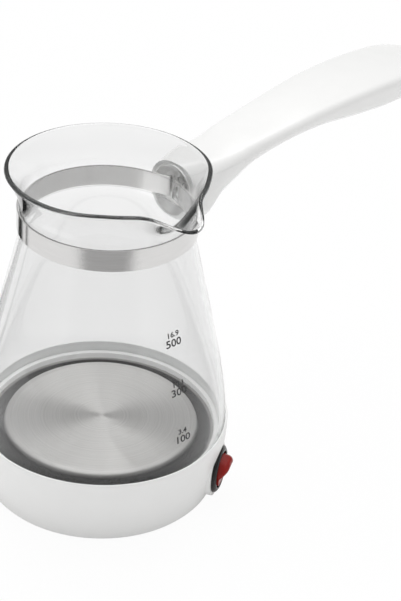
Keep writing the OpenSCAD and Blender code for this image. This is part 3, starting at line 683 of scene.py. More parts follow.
@dataclass(frozen=True)
class ClearGlass(Finish):
    """Glass or clear rubber: no grain, slow waves, and grey where the eye looks along the wall."""

    grey_per_m: float = 26.0
    ior: float = 1.473
    depth_tint: str = "#d9dbdb"
    lamp_tint: str = "#f4f5f5"
    wave_mm: float = 22.0
    wave_depth_mm: float = 0.5
    wave: float = 0.05

    def surface(self, draft: Draft) -> None:
        """Let the lamps' light straight through, and grey all light by its way in the wall.

        Args:
            draft: The material.
        """
        tree = draft.tree
        path = add(tree, "ShaderNodeLightPath").outputs
        lamp = add(tree, "ShaderNodeBsdfTransparent", {"Color": linear(self.lamp_tint)})
        both = add(tree, "ShaderNodeMixShader", links={0: path["Is Shadow Ray"], 1: draft.shader, 2: lamp})
        depth = add(tree, "ShaderNodeVolumeAbsorption", {
            "Color": linear(self.depth_tint), "Density": self.grey_per_m})
        add(tree, "ShaderNodeOutputMaterial", links={"Surface": both, "Volume": depth})

    def detail(self, draft: Draft) -> None:
        """Make the wall clear, with waves far lower than it is thick.

        Args:
            draft: The material.
        """
        draft.fix("IOR", self.ior)
        draft.fix("Transmission Weight", 1.0)
        wave = add(draft.tree, "ShaderNodeTexNoise", {"Scale": per_metre(self.wave_mm), "Detail": 0.0},
                   {"Vector": draft.place})
        draft.feed("Normal", add(draft.tree, "ShaderNodeBump", {
            "Strength": self.wave, "Distance": self.wave_depth_mm * MM}, {"Height": wave}))


# gloss ABS, white: soft highlights, hardly any texture
WHITE_ABS = Moulding("gloss_abs_white", "#f9f9f8", 0.24, ripple=0.03, tone=0.01, specular=0.35)
# the same ABS under the base, less polished
WHITE_ABS_UNDER = Moulding("abs_white_under", "#ededec", 0.34, ripple=0.04, grain=0.1, tone=0.02)
# borosilicate glass, fire-polished: no colour, sharp highlights
GLASS = ClearGlass("borosilicate_glass", "#f6f6f6", 0.0)
# ink fired into the glass: matt, a little uneven
INK = Moulding("fired_ink_grey", "#2c2c2c", 0.5, ripple_mm=2, ripple=0.05, tone=0.2)
# stainless sheet, faced on a lathe and pressed: light fans out from its middle, and its grooved ring is
# painted dark as shade
PLATE = TurnedSheet("turned_stainless", "#dddcda", 0.4, grain=0.1)
# stainless strip, brushed along its length: bright and dark stretches round the neck
BAND = BrushedStrip("brushed_stainless_strip", "#e0dfde", 0.17, grain=0.12)
# stainless disc, brushed and lightly polished: paler than the strip
DISC = BrushedStrip("brushed_stainless_disc", "#f7f7f6", 0.42, grain=0.08, spin=0.4,
                    brush=Brush.ACROSS_THE_DISC)
# zinc plate on small steel parts: bright, slightly uneven
ZINC = Metal("zinc_plated_steel", "#b4b5b6", 0.32)
# stainless screw in the disc: dulled by washing
SCREW = Metal("stainless_screw", "#8e8d8c", 0.3)
# aluminium, rolled and brazed: grey and patchy
ALUMINIUM = Metal("rolled_aluminium", "#c9cacb", 0.38, grain_mm=1.2, uneven=0.2)
# steel sheath of the heater: dark and dull from heat
SHEATH = Metal("heat_dulled_sheath", "#74706c", 0.5, grain_mm=2.0, uneven=0.25)
# brass, stamped: warm yellow
BRASS = Metal("stamped_brass", "#c8a350", 0.3)
# silicone seal: milky, softly dull
SILICONE = Moulding("milky_silicone", "#e6e6e5", 0.5, ripple_mm=3, ripple=0.1, tone=0.03, specular=0.35)
# silicone liner under the band: clear and thin, a little hazy
LINER = ClearGlass("clear_silicone_strip", "#ffffff", 0.12, grey_per_m=60.0, ior=1.41)
# switch body, glass-filled nylon: black with a satin gloss
BLACK_NYLON = Moulding("black_nylon", "#120d0d", 0.24, grain=0.15, tone=0.2, specular=0.35)
# rocker, tinted polycarbonate: deep red that a little light passes
RED_ROCKER = Tinted("tinted_red_polycarbonate", "#a8231c", 0.2, ripple_mm=5, tone=0.1, specular=0.2,
                    clear=0.25)
# lamp under the rocker, soda glass with a glowing gas: pale orange
LAMP_GLASS = Tinted("neon_lamp_glass", "#ffb984", 0.05, clear=0.8)
# rubber, moulded: dark and dull
RUBBER = Moulding("black_rubber_moulded", "#242324", 0.62, grain=0.3, tone=0.15, specular=0.3)
# steatite and porcelain, thinly glazed: cream with a soft gloss
CERAMIC = Moulding("glazed_steatite", "#e4dfd1", 0.35, ripple_mm=4, grain=0.1, tone=0.06)
# phenolic body of the thermostat: dark brown, grainy
PHENOLIC = Moulding("brown_phenolic", "#3b2a20", 0.4, ripple_mm=3, grain=0.2, tone=0.2)
# acetal plunger: off-white and waxy
ACETAL = Moulding("white_acetal", "#e9e6dd", 0.35, ripple_mm=3, tone=0.04)


# ---------------------------------------------------------------- jug


@dataclass
class GlassJug:
    """Blown glass jug: straight foot, waisted body, straight neck, flared rim with a pulled spout."""

    # the outside from foot to rim
    foot_z: float = 28.6
    foot_r: float = 57.5
    straight_z: float = 36.5
    neck_r: float = 38.5
    neck_low: float = 131.0
    flare_z: float = 142.5
    flare_power: float = 1.7
    rim_z: float = 160.0
    rim_r: float = 44.8
    rim_swell: float = 0.05
    # the wall and the bead that the flame leaves on the rim
    wall: float = 2.2
    bead_r: float = 1.15
    # how far the body's curve goes on from the foot and comes down from the neck
    pull: float = 23.0
    tuck: float = 9.0
    # the spout, how far and over what angle the glass is drawn, and the dips beside it
    spout_az: float = -97.0
    spout_reach: float = 12.5
    spout_half: float = 13.0
    spout_droop: float = 4.5
    droop_half: float = 12.0
    cheek_in: float = 1.2
    cheek_off: float = 42.0
    cheek_half: float = 16.0
    spout_power: float = 2.2
    # fineness of the mesh
    body_rows: int = 40
    flare_rows: int = 14
    steps: int = 200
    sharp: float = 60.0

    def body(self, share: float) -> Flat:
        """Find a point of the outside between the straight foot and the neck.

        Args:
            share: Place on the curve, from 0 at the foot to 1 at the neck.

        Returns:
            Radius and height.
        """
        line = [(self.foot_r, self.straight_z), (self.foot_r, self.straight_z + self.pull),
                (self.neck_r, self.neck_low - self.tuck), (self.neck_r, self.neck_low)]
        rest = 1 - share
        weights = [rest ** 3, 3 * rest ** 2 * share, 3 * rest * share ** 2, share ** 3]
        radius, height = (sum(w * point[i] for w, point in zip(weights, line)) for i in (0, 1))
        return radius, height

    def outside(self, z: float) -> float:
        """Find the radius of the outside.

        Args:
            z: Height, below the flare.

        Returns:
            The radius.
        """
        low, high = 0.0, 1.0
        for _ in range(HALVINGS):
            middle = (low + high) / 2
            low, high = (middle, high) if self.body(middle)[1] < z else (low, middle)
        return self.body(low)[0]

    def outline(self) -> list[Flat]:
        """Draw the wall, outside upwards, over the rim's bead and inside downwards.

        Returns:
            Radius and height of each corner.
        """
        rise, bead_z = self.rim_z - self.bead_r - self.flare_z, self.rim_z - self.bead_r
        shares = [(i + 1) / self.flare_rows for i in range(self.flare_rows)]
        flare = [(self.neck_r + (self.rim_r - self.neck_r) * s ** self.flare_power, self.flare_z + rise * s)
                 for s in shares]
        below = [(self.foot_r, self.foot_z), (self.foot_r, (self.foot_z + self.straight_z) / 2),
                 *(self.body(i / self.body_rows) for i in range(self.body_rows + 1)),
                 (self.neck_r, (self.neck_low + self.flare_z) / 2), (self.neck_r, self.flare_z)]
        bead = [(self.rim_r - self.bead_r + y, bead_z + z)
                for y, z in (polar(self.bead_r, a) for a in range(15, 180, 15))]
        inner = [(r - self.wall - self.rim_swell * s ** 6, z) for s, (r, z) in zip(shares, flare)]
        return below + flare + bead + inner[::-1] + [(r - self.wall, z) for r, z in reversed(below)]

    def pulled(self, point: Point) -> Point:
        """Move a point of the flare with the spout, which draws it out and down.

        Args:
            point: A point of the plain round flare.

        Returns:
            Its place on the jug.
        """
        x, y, z = point
        turn = math.degrees(math.atan2(y, x))
        off = abs((turn - self.spout_az + 180) % 360 - 180)
        rise = self.rim_z - self.bead_r - self.flare_z
        share = min(1.0, (z - self.flare_z) / rise) ** self.spout_power
        out = (self.spout_reach * math.exp(-(off / self.spout_half) ** self.spout_power)
               - self.cheek_in * math.exp(-((off - self.cheek_off) / self.cheek_half) ** 2))
        down = self.spout_droop * math.exp(-(off / self.droop_half) ** 2)
        return *polar(math.hypot(x, y) + share * out, turn), z - share * down

    def build(self) -> bpy.types.Object:
        """Spin the wall and pull the spout.

        Returns:
            The jug.
        """
        jug = Bench.turned("glass_jug_blown", self.outline(), self.steps)
        for vertex in jug.data.vertices:
            x, y, z = (c / MM for c in vertex.co)
            if z > self.flare_z:
                vertex.co = Vector(self.pulled((x, y, z))) * MM
        Bench.smooth(jug, self.sharp)
        dress(jug, GLASS.material())
        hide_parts("glass_jug")
        return seat(jug, Body.POT)


@dataclass
class VolumeMarks:
    """Plain numbers printed on the jug's outside, millilitres large and fluid ounces small above them."""

    jug: GlassJug
    az: float = -96.0
    # millilitres, fluid ounces, and height on the glass
    marks: tuple[tuple[str, str, float], ...] = (
        ("500", "16.9", 96.5), ("300", "10.1", 74.0), ("100", "3.4", 51.5))
    large: float = 3.2
    large_down: float = 1.2
    small: float = 2.2
    small_up: float = 2.6
    # thickness of the ink, and its gap to the glass
    ink: float = 0.03
    lift: float = 0.05
    # the font's size for a digit's height, and how much wider and bolder it is made
    font_per_digit: float = 1.45
    widen: float = 1.25
    bolder: float = 0.07

    def wrap(self, piece: bpy.types.Object, z: float) -> None:
        """Bend a flat mark round the glass.

        Args:
            piece: Flat mark in millimetres about its own middle.
            z: Height of its middle on the glass.
        """
        for vertex in piece.data.vertices:
            height = z + vertex.co.y
            radius = self.jug.outside(height) + self.lift + vertex.co.z
            turn = self.az + math.degrees(vertex.co.x / radius)
            vertex.co = Vector((*polar(radius, turn), height)) * MM

    def number(self, text: str, size: float, z: float, name: str) -> bpy.types.Object:
        """Print one number.

        Args:
            text: The number.
            size: Height of its digits.
            z: Height of its middle on the glass.
            name: Name of the piece.

        Returns:
            The printed number.
        """
        Bench.clear()
        bpy.ops.object.text_add()
        mark = bpy.context.object
        mark.data.body = text
        mark.data.align_x = mark.data.align_y = "CENTER"
        mark.data.size = size * self.font_per_digit
        mark.data.offset = self.bolder
        mark.data.resolution_u = 4
        mark.data.extrude = self.ink / 2
        bpy.ops.object.convert(target="MESH")
        mark.name = mark.data.name = name
        for vertex in mark.data.vertices:
            vertex.co.x *= self.widen
        self.wrap(mark, z)
        dress(mark, INK.material())
        return seat(mark, Body.POT)

    def build(self) -> list[bpy.types.Object]:
        """Print the three marks.

        Returns:
            The printed pieces.
        """
        made = []
        for millilitres, ounces, z in self.marks:
            name = f"mark_{millilitres}"
            made.append(self.number(millilitres, self.large, z - self.large_down, name))
            made.append(self.number(ounces, self.small, z + self.small_up, f"{name}_small"))
        return made


# ---------------------------------------------------------------- handle


@dataclass
class HandleMouldings:
    """The handle's white upper shell and the cover under it, each a hollow moulding.

    Distances are along the handle from the jug's axis.
    """

    # where it starts and ends, the band's middle height, and the height its top is measured from
    root_x: float = 42.3
    reach: float = 231.0
    band_z: float = 136.75
    line_z: float = 149.55
    # wall, crown of the top, and softened edges
    wall: float = 2.2
    inside_from: float = 8.0
    crown: float = 1.0
    crown_from: float = 30.0
    edge: float = 0.12
    edge_over: float = 50.0
    sharp: float = 40.0
    # corners of a section, and the flats that they leave
    least_corner: float = 0.4
    side_flat: float = 0.2
    face_flat: float = 0.05
    corner_steps: int = 7
    # rings of the loft, and its round end
    rings_per_station: int = 6
    ring_gap: float = 0.3
    end_round: float = 15.0
    end_flat: float = 0.12
    end_pace: float = 17.0
    # the seam, under the top as far as seam_x and just above the floor beyond it
    seam: float = 0.08
    seam_x: float = 73.0
    seam_rise: float = 0.01
    seam_steps: int = 6
    seam_step: float = 6.0
    skirt_low: float = 2.5
    skirt_high: float = 2.6
    under_z: float = 60.0
    beyond: float = 5.0
    aside: float = 40.0
    # the two screws: distance and height of each seat, then bosses and holes
    screw_seats: tuple[Flat, Flat] = ((65.0, 138.3), (189.0, 144.7))
    boss_top: float = 2.8
    boss_tall: float = 20.0
    shell_boss_r: float = 2.7
    cover_boss_r: float = 4.2
    thread_r: float = 1.25
    shank_r: float = 1.5
    head_r: float = 2.8
    head_below: float = 10.0
    # the dished disc and the screw through it
    disc_z: float = 134.85
    dish_r: float = 12.2
    dish_flat_r: float = 8.3
    dish_depth: float = 3.05
    dish_edge: float = 0.05
    dish_steps: int = 96
    disc_screw_y: float = -5.5
    disc_screw_r: float = 1.35
    disc_screw_deep: float = 9.5
    # the band's two tabs and the pin across them
    tab_y: float = 0.8
    tab_t: float = 0.6
    tab_w: float = 7.0
    tab_end: float = 57.2
    tab_play: float = 0.2
    pin_x: float = 54.6
    pin_y: float = 3.8
    pin_r: float = 1.55
    tongue_over: float = 3.6
    # how far a tool reaches past what it cuts
    past: float = 1.0

    def stations(self) -> list[tuple[float, ...]]:
        """Return distance, width, top, depth and corner radius at each station."""
        near, far, top = self.root_x, self.reach, self.line_z
        return [
            (near, 28.6, top - 1.6, 26.4, 12.6),
            (near + 3.7, 30.4, top - 1.7, 27.4, 11.5),
            (near + 8.2, 31, top - 1.8, 26, 9.5),
            (near + 15.7, 31.2, top - 1.7, 17.5, 7),
            (near + 25.7, 30.4, top - 1.1, 12.6, 4.8),
            (near + 37.7, 30.8, top + 0.1, 8.8, 4.2),
            (near + 58.7, 32.8, top + 2.4, 7.2, 3.4),
            (near + 82.7, 36, top + 5.2, 8.6, 3.4),
            (near + 107.7, 39.4, top + 6.6, 11.8, 3.6),
            (near + 132.7, 41.2, top + 6.8, 13.6, 3.8),
            (far - 32, 41.2, top + 5.8, 12.6, 4),
            (far - 15, 39.8, top + 4.2, 10.8, 4),
            (far, 36.5, top + 2.3, 8.8, 4)]

    def blend(self, place: float) -> tuple[float, ...]:
        """Blend the stations smoothly.

        Args:
            place: Number of a station, or a number between two.

        Returns:
            Distance, width, top, depth and corner radius there.
        """
        known = self.stations()
        i = min(int(place), len(known) - 2)
        t = place - i
        near = (known[max(0, min(len(known) - 1, j))] for j in (i - 1, i, i + 1, i + 2))
        return tuple(0.5 * (2 * b + t * (c - a) + t * t * (2 * a - 5 * b + 4 * c - d)
                            + t ** 3 * (3 * b - a - 3 * c + d)) for a, b, c, d in zip(*near))

    def lines(self, x: float) -> Flat:
        """Find the handle's top and floor.

        Args:
            x: Distance.

        Returns:
            Height of the top and of the floor.
        """
        low, high = 0.0, float(len(self.stations()) - 1)
        for _ in range(HALVINGS):
            middle = (low + high) / 2
            low, high = (middle, high) if self.blend(middle)[0] < x else (low, middle)
        station = self.blend(low)
        return station[2], station[2] - station[3]

    def section(self, station: Sequence[float], inset: float) -> list[Point]:
        """Draw one section: a rounded rectangle with a crowned top.

        Args:
            station: Distance, width, top, depth and corner radius.
            inset: How far it lies inside the outside.

        Returns:
            Its points.
        """
        x, width, top, depth, corner = station
        ahead = max(0.0, x - (self.reach - inset - self.end_round)) / self.end_round
        end = math.sqrt(max(0.0, 1 - min(ahead, 1.0) ** 2))
        half = (width / 2 - inset) * (self.end_flat + (1 - self.end_flat) * end)
        top -= inset
        deep = depth - 2 * inset
        bend = max(self.least_corner, min(corner - inset, half - self.side_flat, deep / 2 - self.face_flat))
        grown = min(1.0, max(0.0, (x - self.root_x) / self.crown_from)) if inset == 0 else 1.0
        crown = min(max(0.0, deep - 2 * bend - 2 * self.face_flat), self.crown * grown)
        side, low, high = half - bend, top - deep + bend, top - bend
        arcs = [(side, low, -90), (side, high, 0), (-side, high, 90), (-side, low, 180)]
        points: list[Flat] = []
        for index, (y, z, start) in enumerate(arcs):
            for k in range(self.corner_steps + 1):
                out, up = polar(bend, start + 90 * k / self.corner_steps)
                points.append((y + out, z + up))
            if index == 1:
                points += [(side * share, top) for share in (0.66, 0.33, 0.0, -0.33, -0.66)]
            if index == 3:
                points += [(side * share, top - deep) for share in (-0.5, 0.0, 0.5)]
        return [(x, y, z - (crown * (y / half) ** 2 if z > top - deep / 2 else 0.0)) for y, z in points]

    def solid(self, name: str, inset: float, x_from: float) -> bpy.types.Object:
        """Loft the handle's outside, or its inside at the wall's depth.

        Args:
            name: Name of the piece.
            inset: How far it lies inside the outside.
            x_from: Distance where it starts.

        Returns:
            The closed solid.
        """
        last, fine = len(self.stations()) - 1, self.rings_per_station
        round_x = self.reach - inset - self.end_round
        rings = [self.section(s, inset) for s in (self.blend(i / fine) for i in range(last * fine))
                 if x_from <= s[0] < round_x - self.ring_gap]
        for share in [0.0] + [math.sin(math.radians(a)) for a in range(9, 90, 9)] + [1.0]:
            x = round_x + self.end_round * share
            station = self.blend(last - (self.reach - x) / self.end_pace)
            rings.append(self.section((x, *station[1:]), inset))
        return Bench.lofted(name, rings)

    def lower(self, name: str, drop: float) -> bpy.types.Object:
        """Make a slab that holds all that belongs to the cover.

        Args:
            name: Name of the piece.
            drop: How far it is lowered, for the seam.

        Returns:
            The slab.
        """
        near = [self.root_x + (self.seam_x - self.root_x) * step / self.seam_steps
                for step in range(self.seam_steps + 1)]
        high = [(x, self.lines(x)[0] - self.crown - self.skirt_high) for x in near]
        count = int((self.reach - self.seam_x) // self.seam_step) + 1
        far = [self.seam_x + self.seam_step * step for step in range(count)]
        low = [(x + self.seam_rise, self.lines(x)[1] + self.skirt_low) for x in far]
        start, end = self.root_x - self.beyond, self.reach + self.beyond
        line = [(start, self.under_z), (start, high[0][1]), *high, *low,
                (end, self.lines(self.reach)[1] + self.skirt_low), (end, self.under_z)]
        return Bench.slab(name, [(x - drop, z - drop) for x, z in line], self.aside)

    def dish(self) -> bpy.types.Object:
        """Make the room for the dished disc in the root.

        Returns:
            The tool.
        """
        dish = Bench.turned("dish_room", [
            (0.0, -self.past), (self.dish_r, -self.past), (self.dish_r, self.dish_edge),
            (self.dish_flat_r, self.dish_depth), (0.0, self.dish_depth)], self.dish_steps)
        dish.rotation_euler = Euler((0, math.radians(90), 0))
        dish.location = Vector((self.root_x, 0, self.disc_z)) * MM
        return dish

    def upright(self, radius: float, x: float, low: float, high: float) -> bpy.types.Object:
        """Make an upright rod on the handle's middle line."""
        return Bench.rod(radius, (x, 0, low), (x, 0, high))

    def with_boss(self, piece: bpy.types.Object, boss: bpy.types.Object, outside: bpy.types.Object) -> None:
        """Join the part of a boss that lies inside the handle to a moulding.

        Args:
            piece: The moulding.
            boss: The boss, which is used up.
            outside: The handle's outside.
        """
        Bench.cut(boss, outside, "INTERSECT")
        Bench.cut(piece, boss, "UNION")
        Bench.drop(boss)

    def screw_bosses(self, shell: bpy.types.Object, cover: bpy.types.Object,
                     outside: bpy.types.Object) -> None:
        """Add the bosses of the two screws, which go up through the cover into the shell.

        Args:
            shell: The upper moulding.
            cover: The lower moulding.
            outside: The handle's outside.
        """
        for x, seat_z in self.screw_seats:
            top, floor = self.lines(x)
            meet, below = seat_z + self.boss_top, floor - self.head_below
            self.with_boss(shell, self.upright(self.shell_boss_r, x, meet, meet + self.boss_tall), outside)
            self.with_boss(cover, self.upright(self.cover_boss_r, x, meet - self.boss_tall, meet), outside)
            Bench.drill(shell, self.upright(self.thread_r, x, meet - self.past, top - self.wall))
            Bench.drill(cover, self.upright(self.shank_r, x, below, meet + self.past),
                        self.upright(self.head_r, x, below, seat_z))

    def root(self, cover: bpy.types.Object, outside: bpy.types.Object) -> None:
        """Fit the cover's root for the band's two tabs, their pin, the disc and its screw.

        Args:
            cover: The lower moulding.
            outside: The handle's outside.
        """
        z, half_w = self.band_z, self.tab_w / 2 + self.tab_play
        start = self.root_x - self.past
        self.with_boss(cover, Bench.box(
            (self.root_x, -self.pin_y, z - self.boss_tall),
            (self.pin_x + self.tongue_over, self.pin_y, z + self.tongue_over)), outside)
        for side in (-1, 1):
            middle, half_t = side * (self.tab_y + self.tab_t / 2), self.tab_t / 2 + self.tab_play
            Bench.drill(cover, Bench.box((start, middle - half_t, z - half_w),
                                         (self.tab_end, middle + half_t, z + half_w)))
        reach = self.pin_y + self.past
        screw = Bench.rod(self.disc_screw_r, (start, self.disc_screw_y, z),
                          (self.root_x + self.disc_screw_deep, self.disc_screw_y, z))
        pin = Bench.rod(self.pin_r, (self.pin_x, -reach, z), (self.pin_x, reach, z))
        Bench.drill(cover, screw, pin, self.dish())

    def build(self) -> list[bpy.types.Object]:
        """Make the shell and the cover.

        Returns:
            Both mouldings.
        """
        outside = self.solid("handle_outside", 0.0, 0.0)
        inside = self.solid("handle_inside", self.wall, self.root_x + self.inside_from)
        hollow = Bench.copy(outside, "handle_hollow")
        Bench.cut(hollow, inside)
        shell = Bench.copy(hollow, "handle_shell_moulding")
        cover = Bench.copy(hollow, "handle_cover_moulding")
        above, below = self.lower("seam_above", 0.0), self.lower("seam_below", self.seam)
        Bench.cut(shell, above)
        Bench.cut(cover, below, "INTERSECT")
        self.screw_bosses(shell, cover, outside)
        self.root(cover, outside)
        Bench.drill(shell, self.dish())
        Bench.drop(outside, inside, hollow, above, below)
        for piece, node in ((shell, "handle_shell"), (cover, "handle_cover")):
            Bench.modify(piece, "BEVEL", width=self.edge * MM, segments=2, limit_method="ANGLE",
                         angle_limit=math.radians(self.edge_over))
            Bench.smooth(piece, self.sharp)
            dress(piece, WHITE_ABS.material())
            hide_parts(node)
            seat(piece, Body.POT)
        return [shell, cover]


# ---------------------------------------------------------------- carried-over pieces


@dataclass
class PackedPieces:
    """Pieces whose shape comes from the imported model: each gets the finish of its real material."""

    def finishes(self) -> dict[str, Finish]:
        """Return the finish of each piece."""
        return {
            "seal_ring": SILICONE, "heater_plate": PLATE, "heat_spreader": ALUMINIUM,
            "heating_element": SHEATH, "element_terminals": CERAMIC, "clamp_studs": ZINC,
            "clamp_ring": ZINC, "clamp_nuts": ZINC, "thermostat": PHENOLIC,
            "thermostat_bracket": ZINC, "thermostat_screws": ZINC, "thermal_fuse": CERAMIC,
            "fuse_clip": ZINC, "base_housing": WHITE_ABS, "bottom_cover": WHITE_ABS_UNDER,
            "cover_screws": ZINC, "foot_ring": RUBBER, "cord_bush": RUBBER, "terminal_block": CERAMIC,
            "terminal_screws": BRASS, "switch_housing": BLACK_NYLON, "switch_rocker": RED_ROCKER,
            "switch_plunger": ACETAL, "switch_spring": ZINC, "contact_lever": BRASS,
            "switch_terminals": BRASS, "neon_lamp": LAMP_GLASS, "neck_band": BAND, "band_liner": LINER,
            "handle_disc": DISC, "disc_screw": SCREW, "tang_pin": ZINC, "handle_screws": ZINC}

    def build(self) -> list[bpy.types.Object]:
        """Dress every carried-over piece.

        Returns:
            The dressed pieces.
        """
        finishes = self.finishes()
        for name, finish in finishes.items():
            dress(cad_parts[name], finish.material())
        return [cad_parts[name] for name in finishes]


# ---------------------------------------------------------------- studio


@dataclass(frozen=True)
class Card:
    """A card with soft edges that only gloss or the metal behind glass shows.

    It is a box between two corners, given as distance from the jug's axis, sideways and up, and turned
    round the axis to az. Its core is the share of its half width that has the full colour, before it
    fades out sideways. Gloss in the open shows it if outside is set, and metal behind glass if inside is.
    """

    name: str
    low: Point
    high: Point
    az: float
    colour: str
    core: float
    strength: float = 1.0
    inside: bool = False
    outside: bool = True

    def material(self) -> bpy.types.Material:
        """Make the card's glow, which fades out to nothing at its sides.

        Returns:
            The material.
        """
        material = bpy.data.materials.new(self.name + "_net")
        tree = fresh(material)
        split = add(tree, "ShaderNodeSeparateXYZ", links={
            0: add(tree, "ShaderNodeTexCoord").outputs["Object"]})
        side = add(tree, "ShaderNodeMath", links={0: split.outputs["Y"]}, operation="ABSOLUTE")
        half = self.high[1] * MM
        fade = add(tree, "ShaderNodeMapRange", {"From Min": self.core * half, "From Max": half},
                   {"Value": side}, interpolation_type="SMOOTHSTEP")
        cloth = add(tree, "ShaderNodeEmission", {"Color": linear(self.colour), "Strength": self.strength})
        open_air = add(tree, "ShaderNodeBsdfTransparent")
        both = add(tree, "ShaderNodeMixShader", links={0: fade, 1: cloth, 2: open_air})
        add(tree, "ShaderNodeOutputMaterial", links={"Surface": both})
        return material

    def stand(self) -> bpy.types.Object:
        """Stand the card in the room.

        Returns:
            The card.
        """
        card = Bench.box(self.low, self.high)
        bpy.ops.object.transform_apply(location=True, rotation=False, scale=False)
        card.name = self.name
        card.rotation_euler = Euler((0, 0, math.radians(self.az)))
        dress(card, self.material())
        card.visible_camera = card.visible_diffuse = card.visible_shadow = False
        card.visible_transmission, card.visible_glossy = self.inside, self.outside
        return card


CARDS = (
    # dim what the near side of the band, the base and the plate mirror
    Card("flag_front", (230, -200, 5), (232, 200, 900), -136, "#b2b2b2", 0.3),
    Card("flag_front_floor", (110, -140, 0.5), (500, 140, 1.5), -136, "#bcbcbc", 0.3),
    # draw the dark stretches of the band
    Card("bar_left", (120, -42, 0.6), (500, 42, 1.6), 90, "#060606", 0.75),
    Card("bar_left_thin", (120, -11, 0.6), (500, 11, 1.6), 110, "#202020", 0.6),
    # draw the bright sectors of the turned plate
    Card("strip_box", (400, -60, 430), (402, 60, 1500), 29, "#ffffff", 0.2, 4.0, inside=True),
    Card("strip_box_side", (400, -35, 430), (402, 35, 1500), 62, "#ffffff", 0.2, 3.2, inside=True),
    # brighten what the far side of the band and the disc mirror through the glass
    Card("floor_light", (130, -110, 0.5), (330, 110, 1.5), 155, "#ffffff", 0.3, 1.9, inside=True,
         outside=False))


@dataclass
class Studio:
    """White sweep, soft light from all round, one large soft lamp, and cards for glass and metal."""

    floor_half_m: float = 3.0
    # the floor, and how evenly white the eye sees it
    paper: str = "#f8f8f8"
    paper_glow: float = 0.95
    # light on matt surfaces from all round, and how much more one side gives than the other
    sky: float = 0.68
    sky_side: float = 0.12
    # what gloss and glass see of the room: the sine of the height angle, and grey
    mirrored: tuple[Flat, ...] = ((0.0, 0.8), (0.05, 0.5), (0.3, 0.3), (0.55, 0.75), (0.85, 1.5))
    through: tuple[Flat, ...] = ((0.0, 0.9), (0.02, 0.68), (0.25, 0.72), (0.5, 0.9), (0.8, 1.0))
    # faces of glass that a ray has crossed when metal sends it back
    faces_in: float = 2.5
    # the large soft lamp, and the weak one inside the jug
    lamp: float = 1.3
    lamp_spread: float = 50.0
    lamp_turn: Point = (-21.7, 22.7, 0.0)
    inner_lamp: float = 0.1
    inner_z: float = 75.0
    inner_soft: float = 15.0
    # bounces that the rim and the plate under the glass need
    bounces: int = 24
    gloss_bounces: int = 16

    def floor(self) -> bpy.types.Object:
        """Lay the white paper, which an eye that looks at it straight or through glass sees evenly white.

        Returns:
            The floor.
        """
        Bench.clear()
        bpy.ops.mesh.primitive_plane_add(size=2 * self.floor_half_m)
        floor = bpy.context.object
        floor.name = "studio_floor"
        material = bpy.data.materials.new("white_paper_sweep")
        tree = fresh(material)
        paper = add(tree, "ShaderNodeBsdfDiffuse", {"Color": linear(self.paper)})
        glow = add(tree, "ShaderNodeEmission", {"Color": WHITE, "Strength": 1.0})
        path = add(tree, "ShaderNodeLightPath").outputs
        seen = add(tree, "ShaderNodeMath", links={
            0: path["Is Camera Ray"], 1: path["Is Transmission Ray"]}, operation="MAXIMUM")
        clear = add(tree, "ShaderNodeMath", {1: 0.5}, {0: path["Glossy Depth"]}, operation="LESS_THAN")
        direct = add(tree, "ShaderNodeMath", links={0: seen, 1: clear}, operation="MULTIPLY")
        share = add(tree, "ShaderNodeMath", {1: self.paper_glow}, {0: direct}, operation="MULTIPLY")
        both = add(tree, "ShaderNodeMixShader", links={0: share, 1: paper, 2: glow})
        add(tree, "ShaderNodeOutputMaterial", links={"Surface": both})
        dress(floor, material)
        return floor

    def world(self) -> None:
        """Light the room: plain for matt surfaces, a bright ceiling and darker walls for gloss."""
        world = bpy.data.worlds.new("soft_studio")
        bpy.context.scene.world = world
        # the room differs by kind of ray, so it is only met by rays and never sampled as a lamp
        world.cycles.sampling_method = "NONE"
        tree = fresh(world)
        path = add(tree, "ShaderNodeLightPath").outputs
        split = add(tree, "ShaderNodeSeparateXYZ", links={
            0: add(tree, "ShaderNodeTexCoord").outputs["Generated"]}).outputs
        side = add(tree, "ShaderNodeMapRange", {
            "From Min": -1.0, "To Min": self.sky - self.sky_side, "To Max": self.sky + self.sky_side},
            {"Value": split["Y"]})
        plain = add(tree, "ShaderNodeBackground", {"Color": WHITE}, {"Strength": side})
        white = add(tree, "ShaderNodeBackground", {"Color": WHITE})
        # each room is grey by the sine of the height angle, from the walls' foot to the ceiling
        mirrored, through = (add(tree, "ShaderNodeBackground", links={"Color": stops(
            add(tree, "ShaderNodeValToRGB", links={"Fac": split["Z"]}),
            [(height, (grey, grey, grey, 1.0)) for height, grey in room])})
            for room in (self.mirrored, self.through))
        # a ray that metal sent back out through the glass sees the room as gloss in the open does:
        # it has met metal once and crossed more than the two faces of the wall on its way in
        once = add(tree, "ShaderNodeMath", {1: 1.0}, {0: path["Glossy Depth"]}, operation="MINIMUM")
        crossed = add(tree, "ShaderNodeMath", {1: self.faces_in}, {0: path["Transmission Depth"]},
                      operation="GREATER_THAN")
        metal = add(tree, "ShaderNodeMath", links={0: crossed, 1: once}, operation="MULTIPLY")
        back = add(tree, "ShaderNodeMath", links={0: path["Is Transmission Ray"], 1: metal},
                   operation="MULTIPLY")
        glossed = add(tree, "ShaderNodeMath", links={0: path["Is Glossy Ray"], 1: back},
                      operation="MAXIMUM")
        room = plain
        for share, shown in ((path["Is Transmission Ray"], through), (glossed, mirrored),
                             (path["Is Camera Ray"], white)):
            room = add(tree, "ShaderNodeMixShader", links={0: share, 1: room, 2: shown})
        add(tree, "ShaderNodeOutputWorld", links={"Surface": room})

    def hang(self, light: bpy.types.Light) -> bpy.types.Object:
        """Hang a lamp that is never seen itself, straight or in a piece.

        Args:
            light: Its light.

        Returns:
            The lamp.
        """
        lamp = bpy.data.objects.new(light.name, light)
        lamp.visible_camera = lamp.visible_glossy = lamp.visible_transmission = False
        bpy.context.scene.collection.objects.link(lamp)
        return lamp

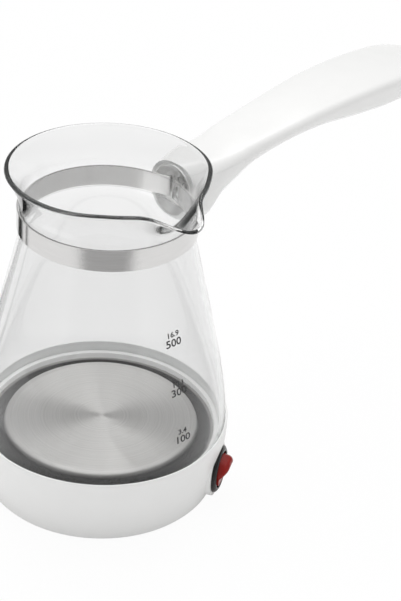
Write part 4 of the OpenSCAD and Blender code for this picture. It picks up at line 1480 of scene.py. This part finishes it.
    def lamps(self) -> None:
        """Hang one large soft lamp, high and behind, and a weak one inside the jug.

        The weak one stands for the light that the glass carries down to the plate's surround.
        """
        sun = bpy.data.lights.new("soft_lamp", "SUN")
        sun.energy = self.lamp
        sun.angle = math.radians(self.lamp_spread)
        self.hang(sun).rotation_euler = Euler([math.radians(a) for a in self.lamp_turn])
        bulb = bpy.data.lights.new("carried_light", "POINT")
        bulb.energy = self.inner_lamp
        bulb.shadow_soft_size = self.inner_soft * MM
        self.hang(bulb).location = (0, 0, self.inner_z * MM)

    def build(self) -> None:
        """Set up the floor, the world, the lamps and the cards."""
        self.floor()
        self.world()
        self.lamps()
        for card in CARDS:
            card.stand()
        scene = bpy.context.scene
        scene.view_settings.view_transform = "Standard"
        # light crosses the glass wall many times before it leaves the rim
        scene.cycles.max_bounces = scene.cycles.transmission_bounces = self.bounces
        scene.cycles.glossy_bounces = self.gloss_bounces


@dataclass
class FrontLeftCamera:
    """Long lens, from the front left and above. Its place and reach are in metres."""

    place: Point = (-0.4385, -0.42346, 0.47079)
    turn: Point = (58.363, -3.475, -47.849)
    lens: float = 96.011
    sensor: float = 36.0
    near_m: float = 0.01
    far_m: float = 50.0

    def build(self) -> bpy.types.Object:
        """Set the camera up.

        Returns:
            The camera.
        """
        data = bpy.data.cameras.new("front_left_camera")
        data.lens = self.lens
        data.sensor_width = self.sensor
        data.sensor_fit = "AUTO"
        data.clip_start = self.near_m
        data.clip_end = self.far_m
        camera = bpy.data.objects.new("front_left_camera", data)
        camera.location = self.place
        camera.rotation_euler = Euler([math.radians(a) for a in self.turn], "XYZ")
        bpy.context.scene.collection.objects.link(camera)
        bpy.context.scene.camera = camera
        return camera


def main() -> None:
    """Build the pot, dress it and light it."""
    logging.basicConfig(level=logging.INFO, format="%(message)s")
    FrontLeftCamera().build()
    jug = GlassJug()
    made: list[bpy.types.Object] = [jug.build()]
    made += VolumeMarks(jug).build()
    made += HandleMouldings().build()
    made += PackedPieces().build()
    Studio().build()
    for piece in made:
        LOG.info("%s: %d faces", piece.name, len(piece.data.polygons))
    Bench.clear()


if __name__ == "__main__":
    main()
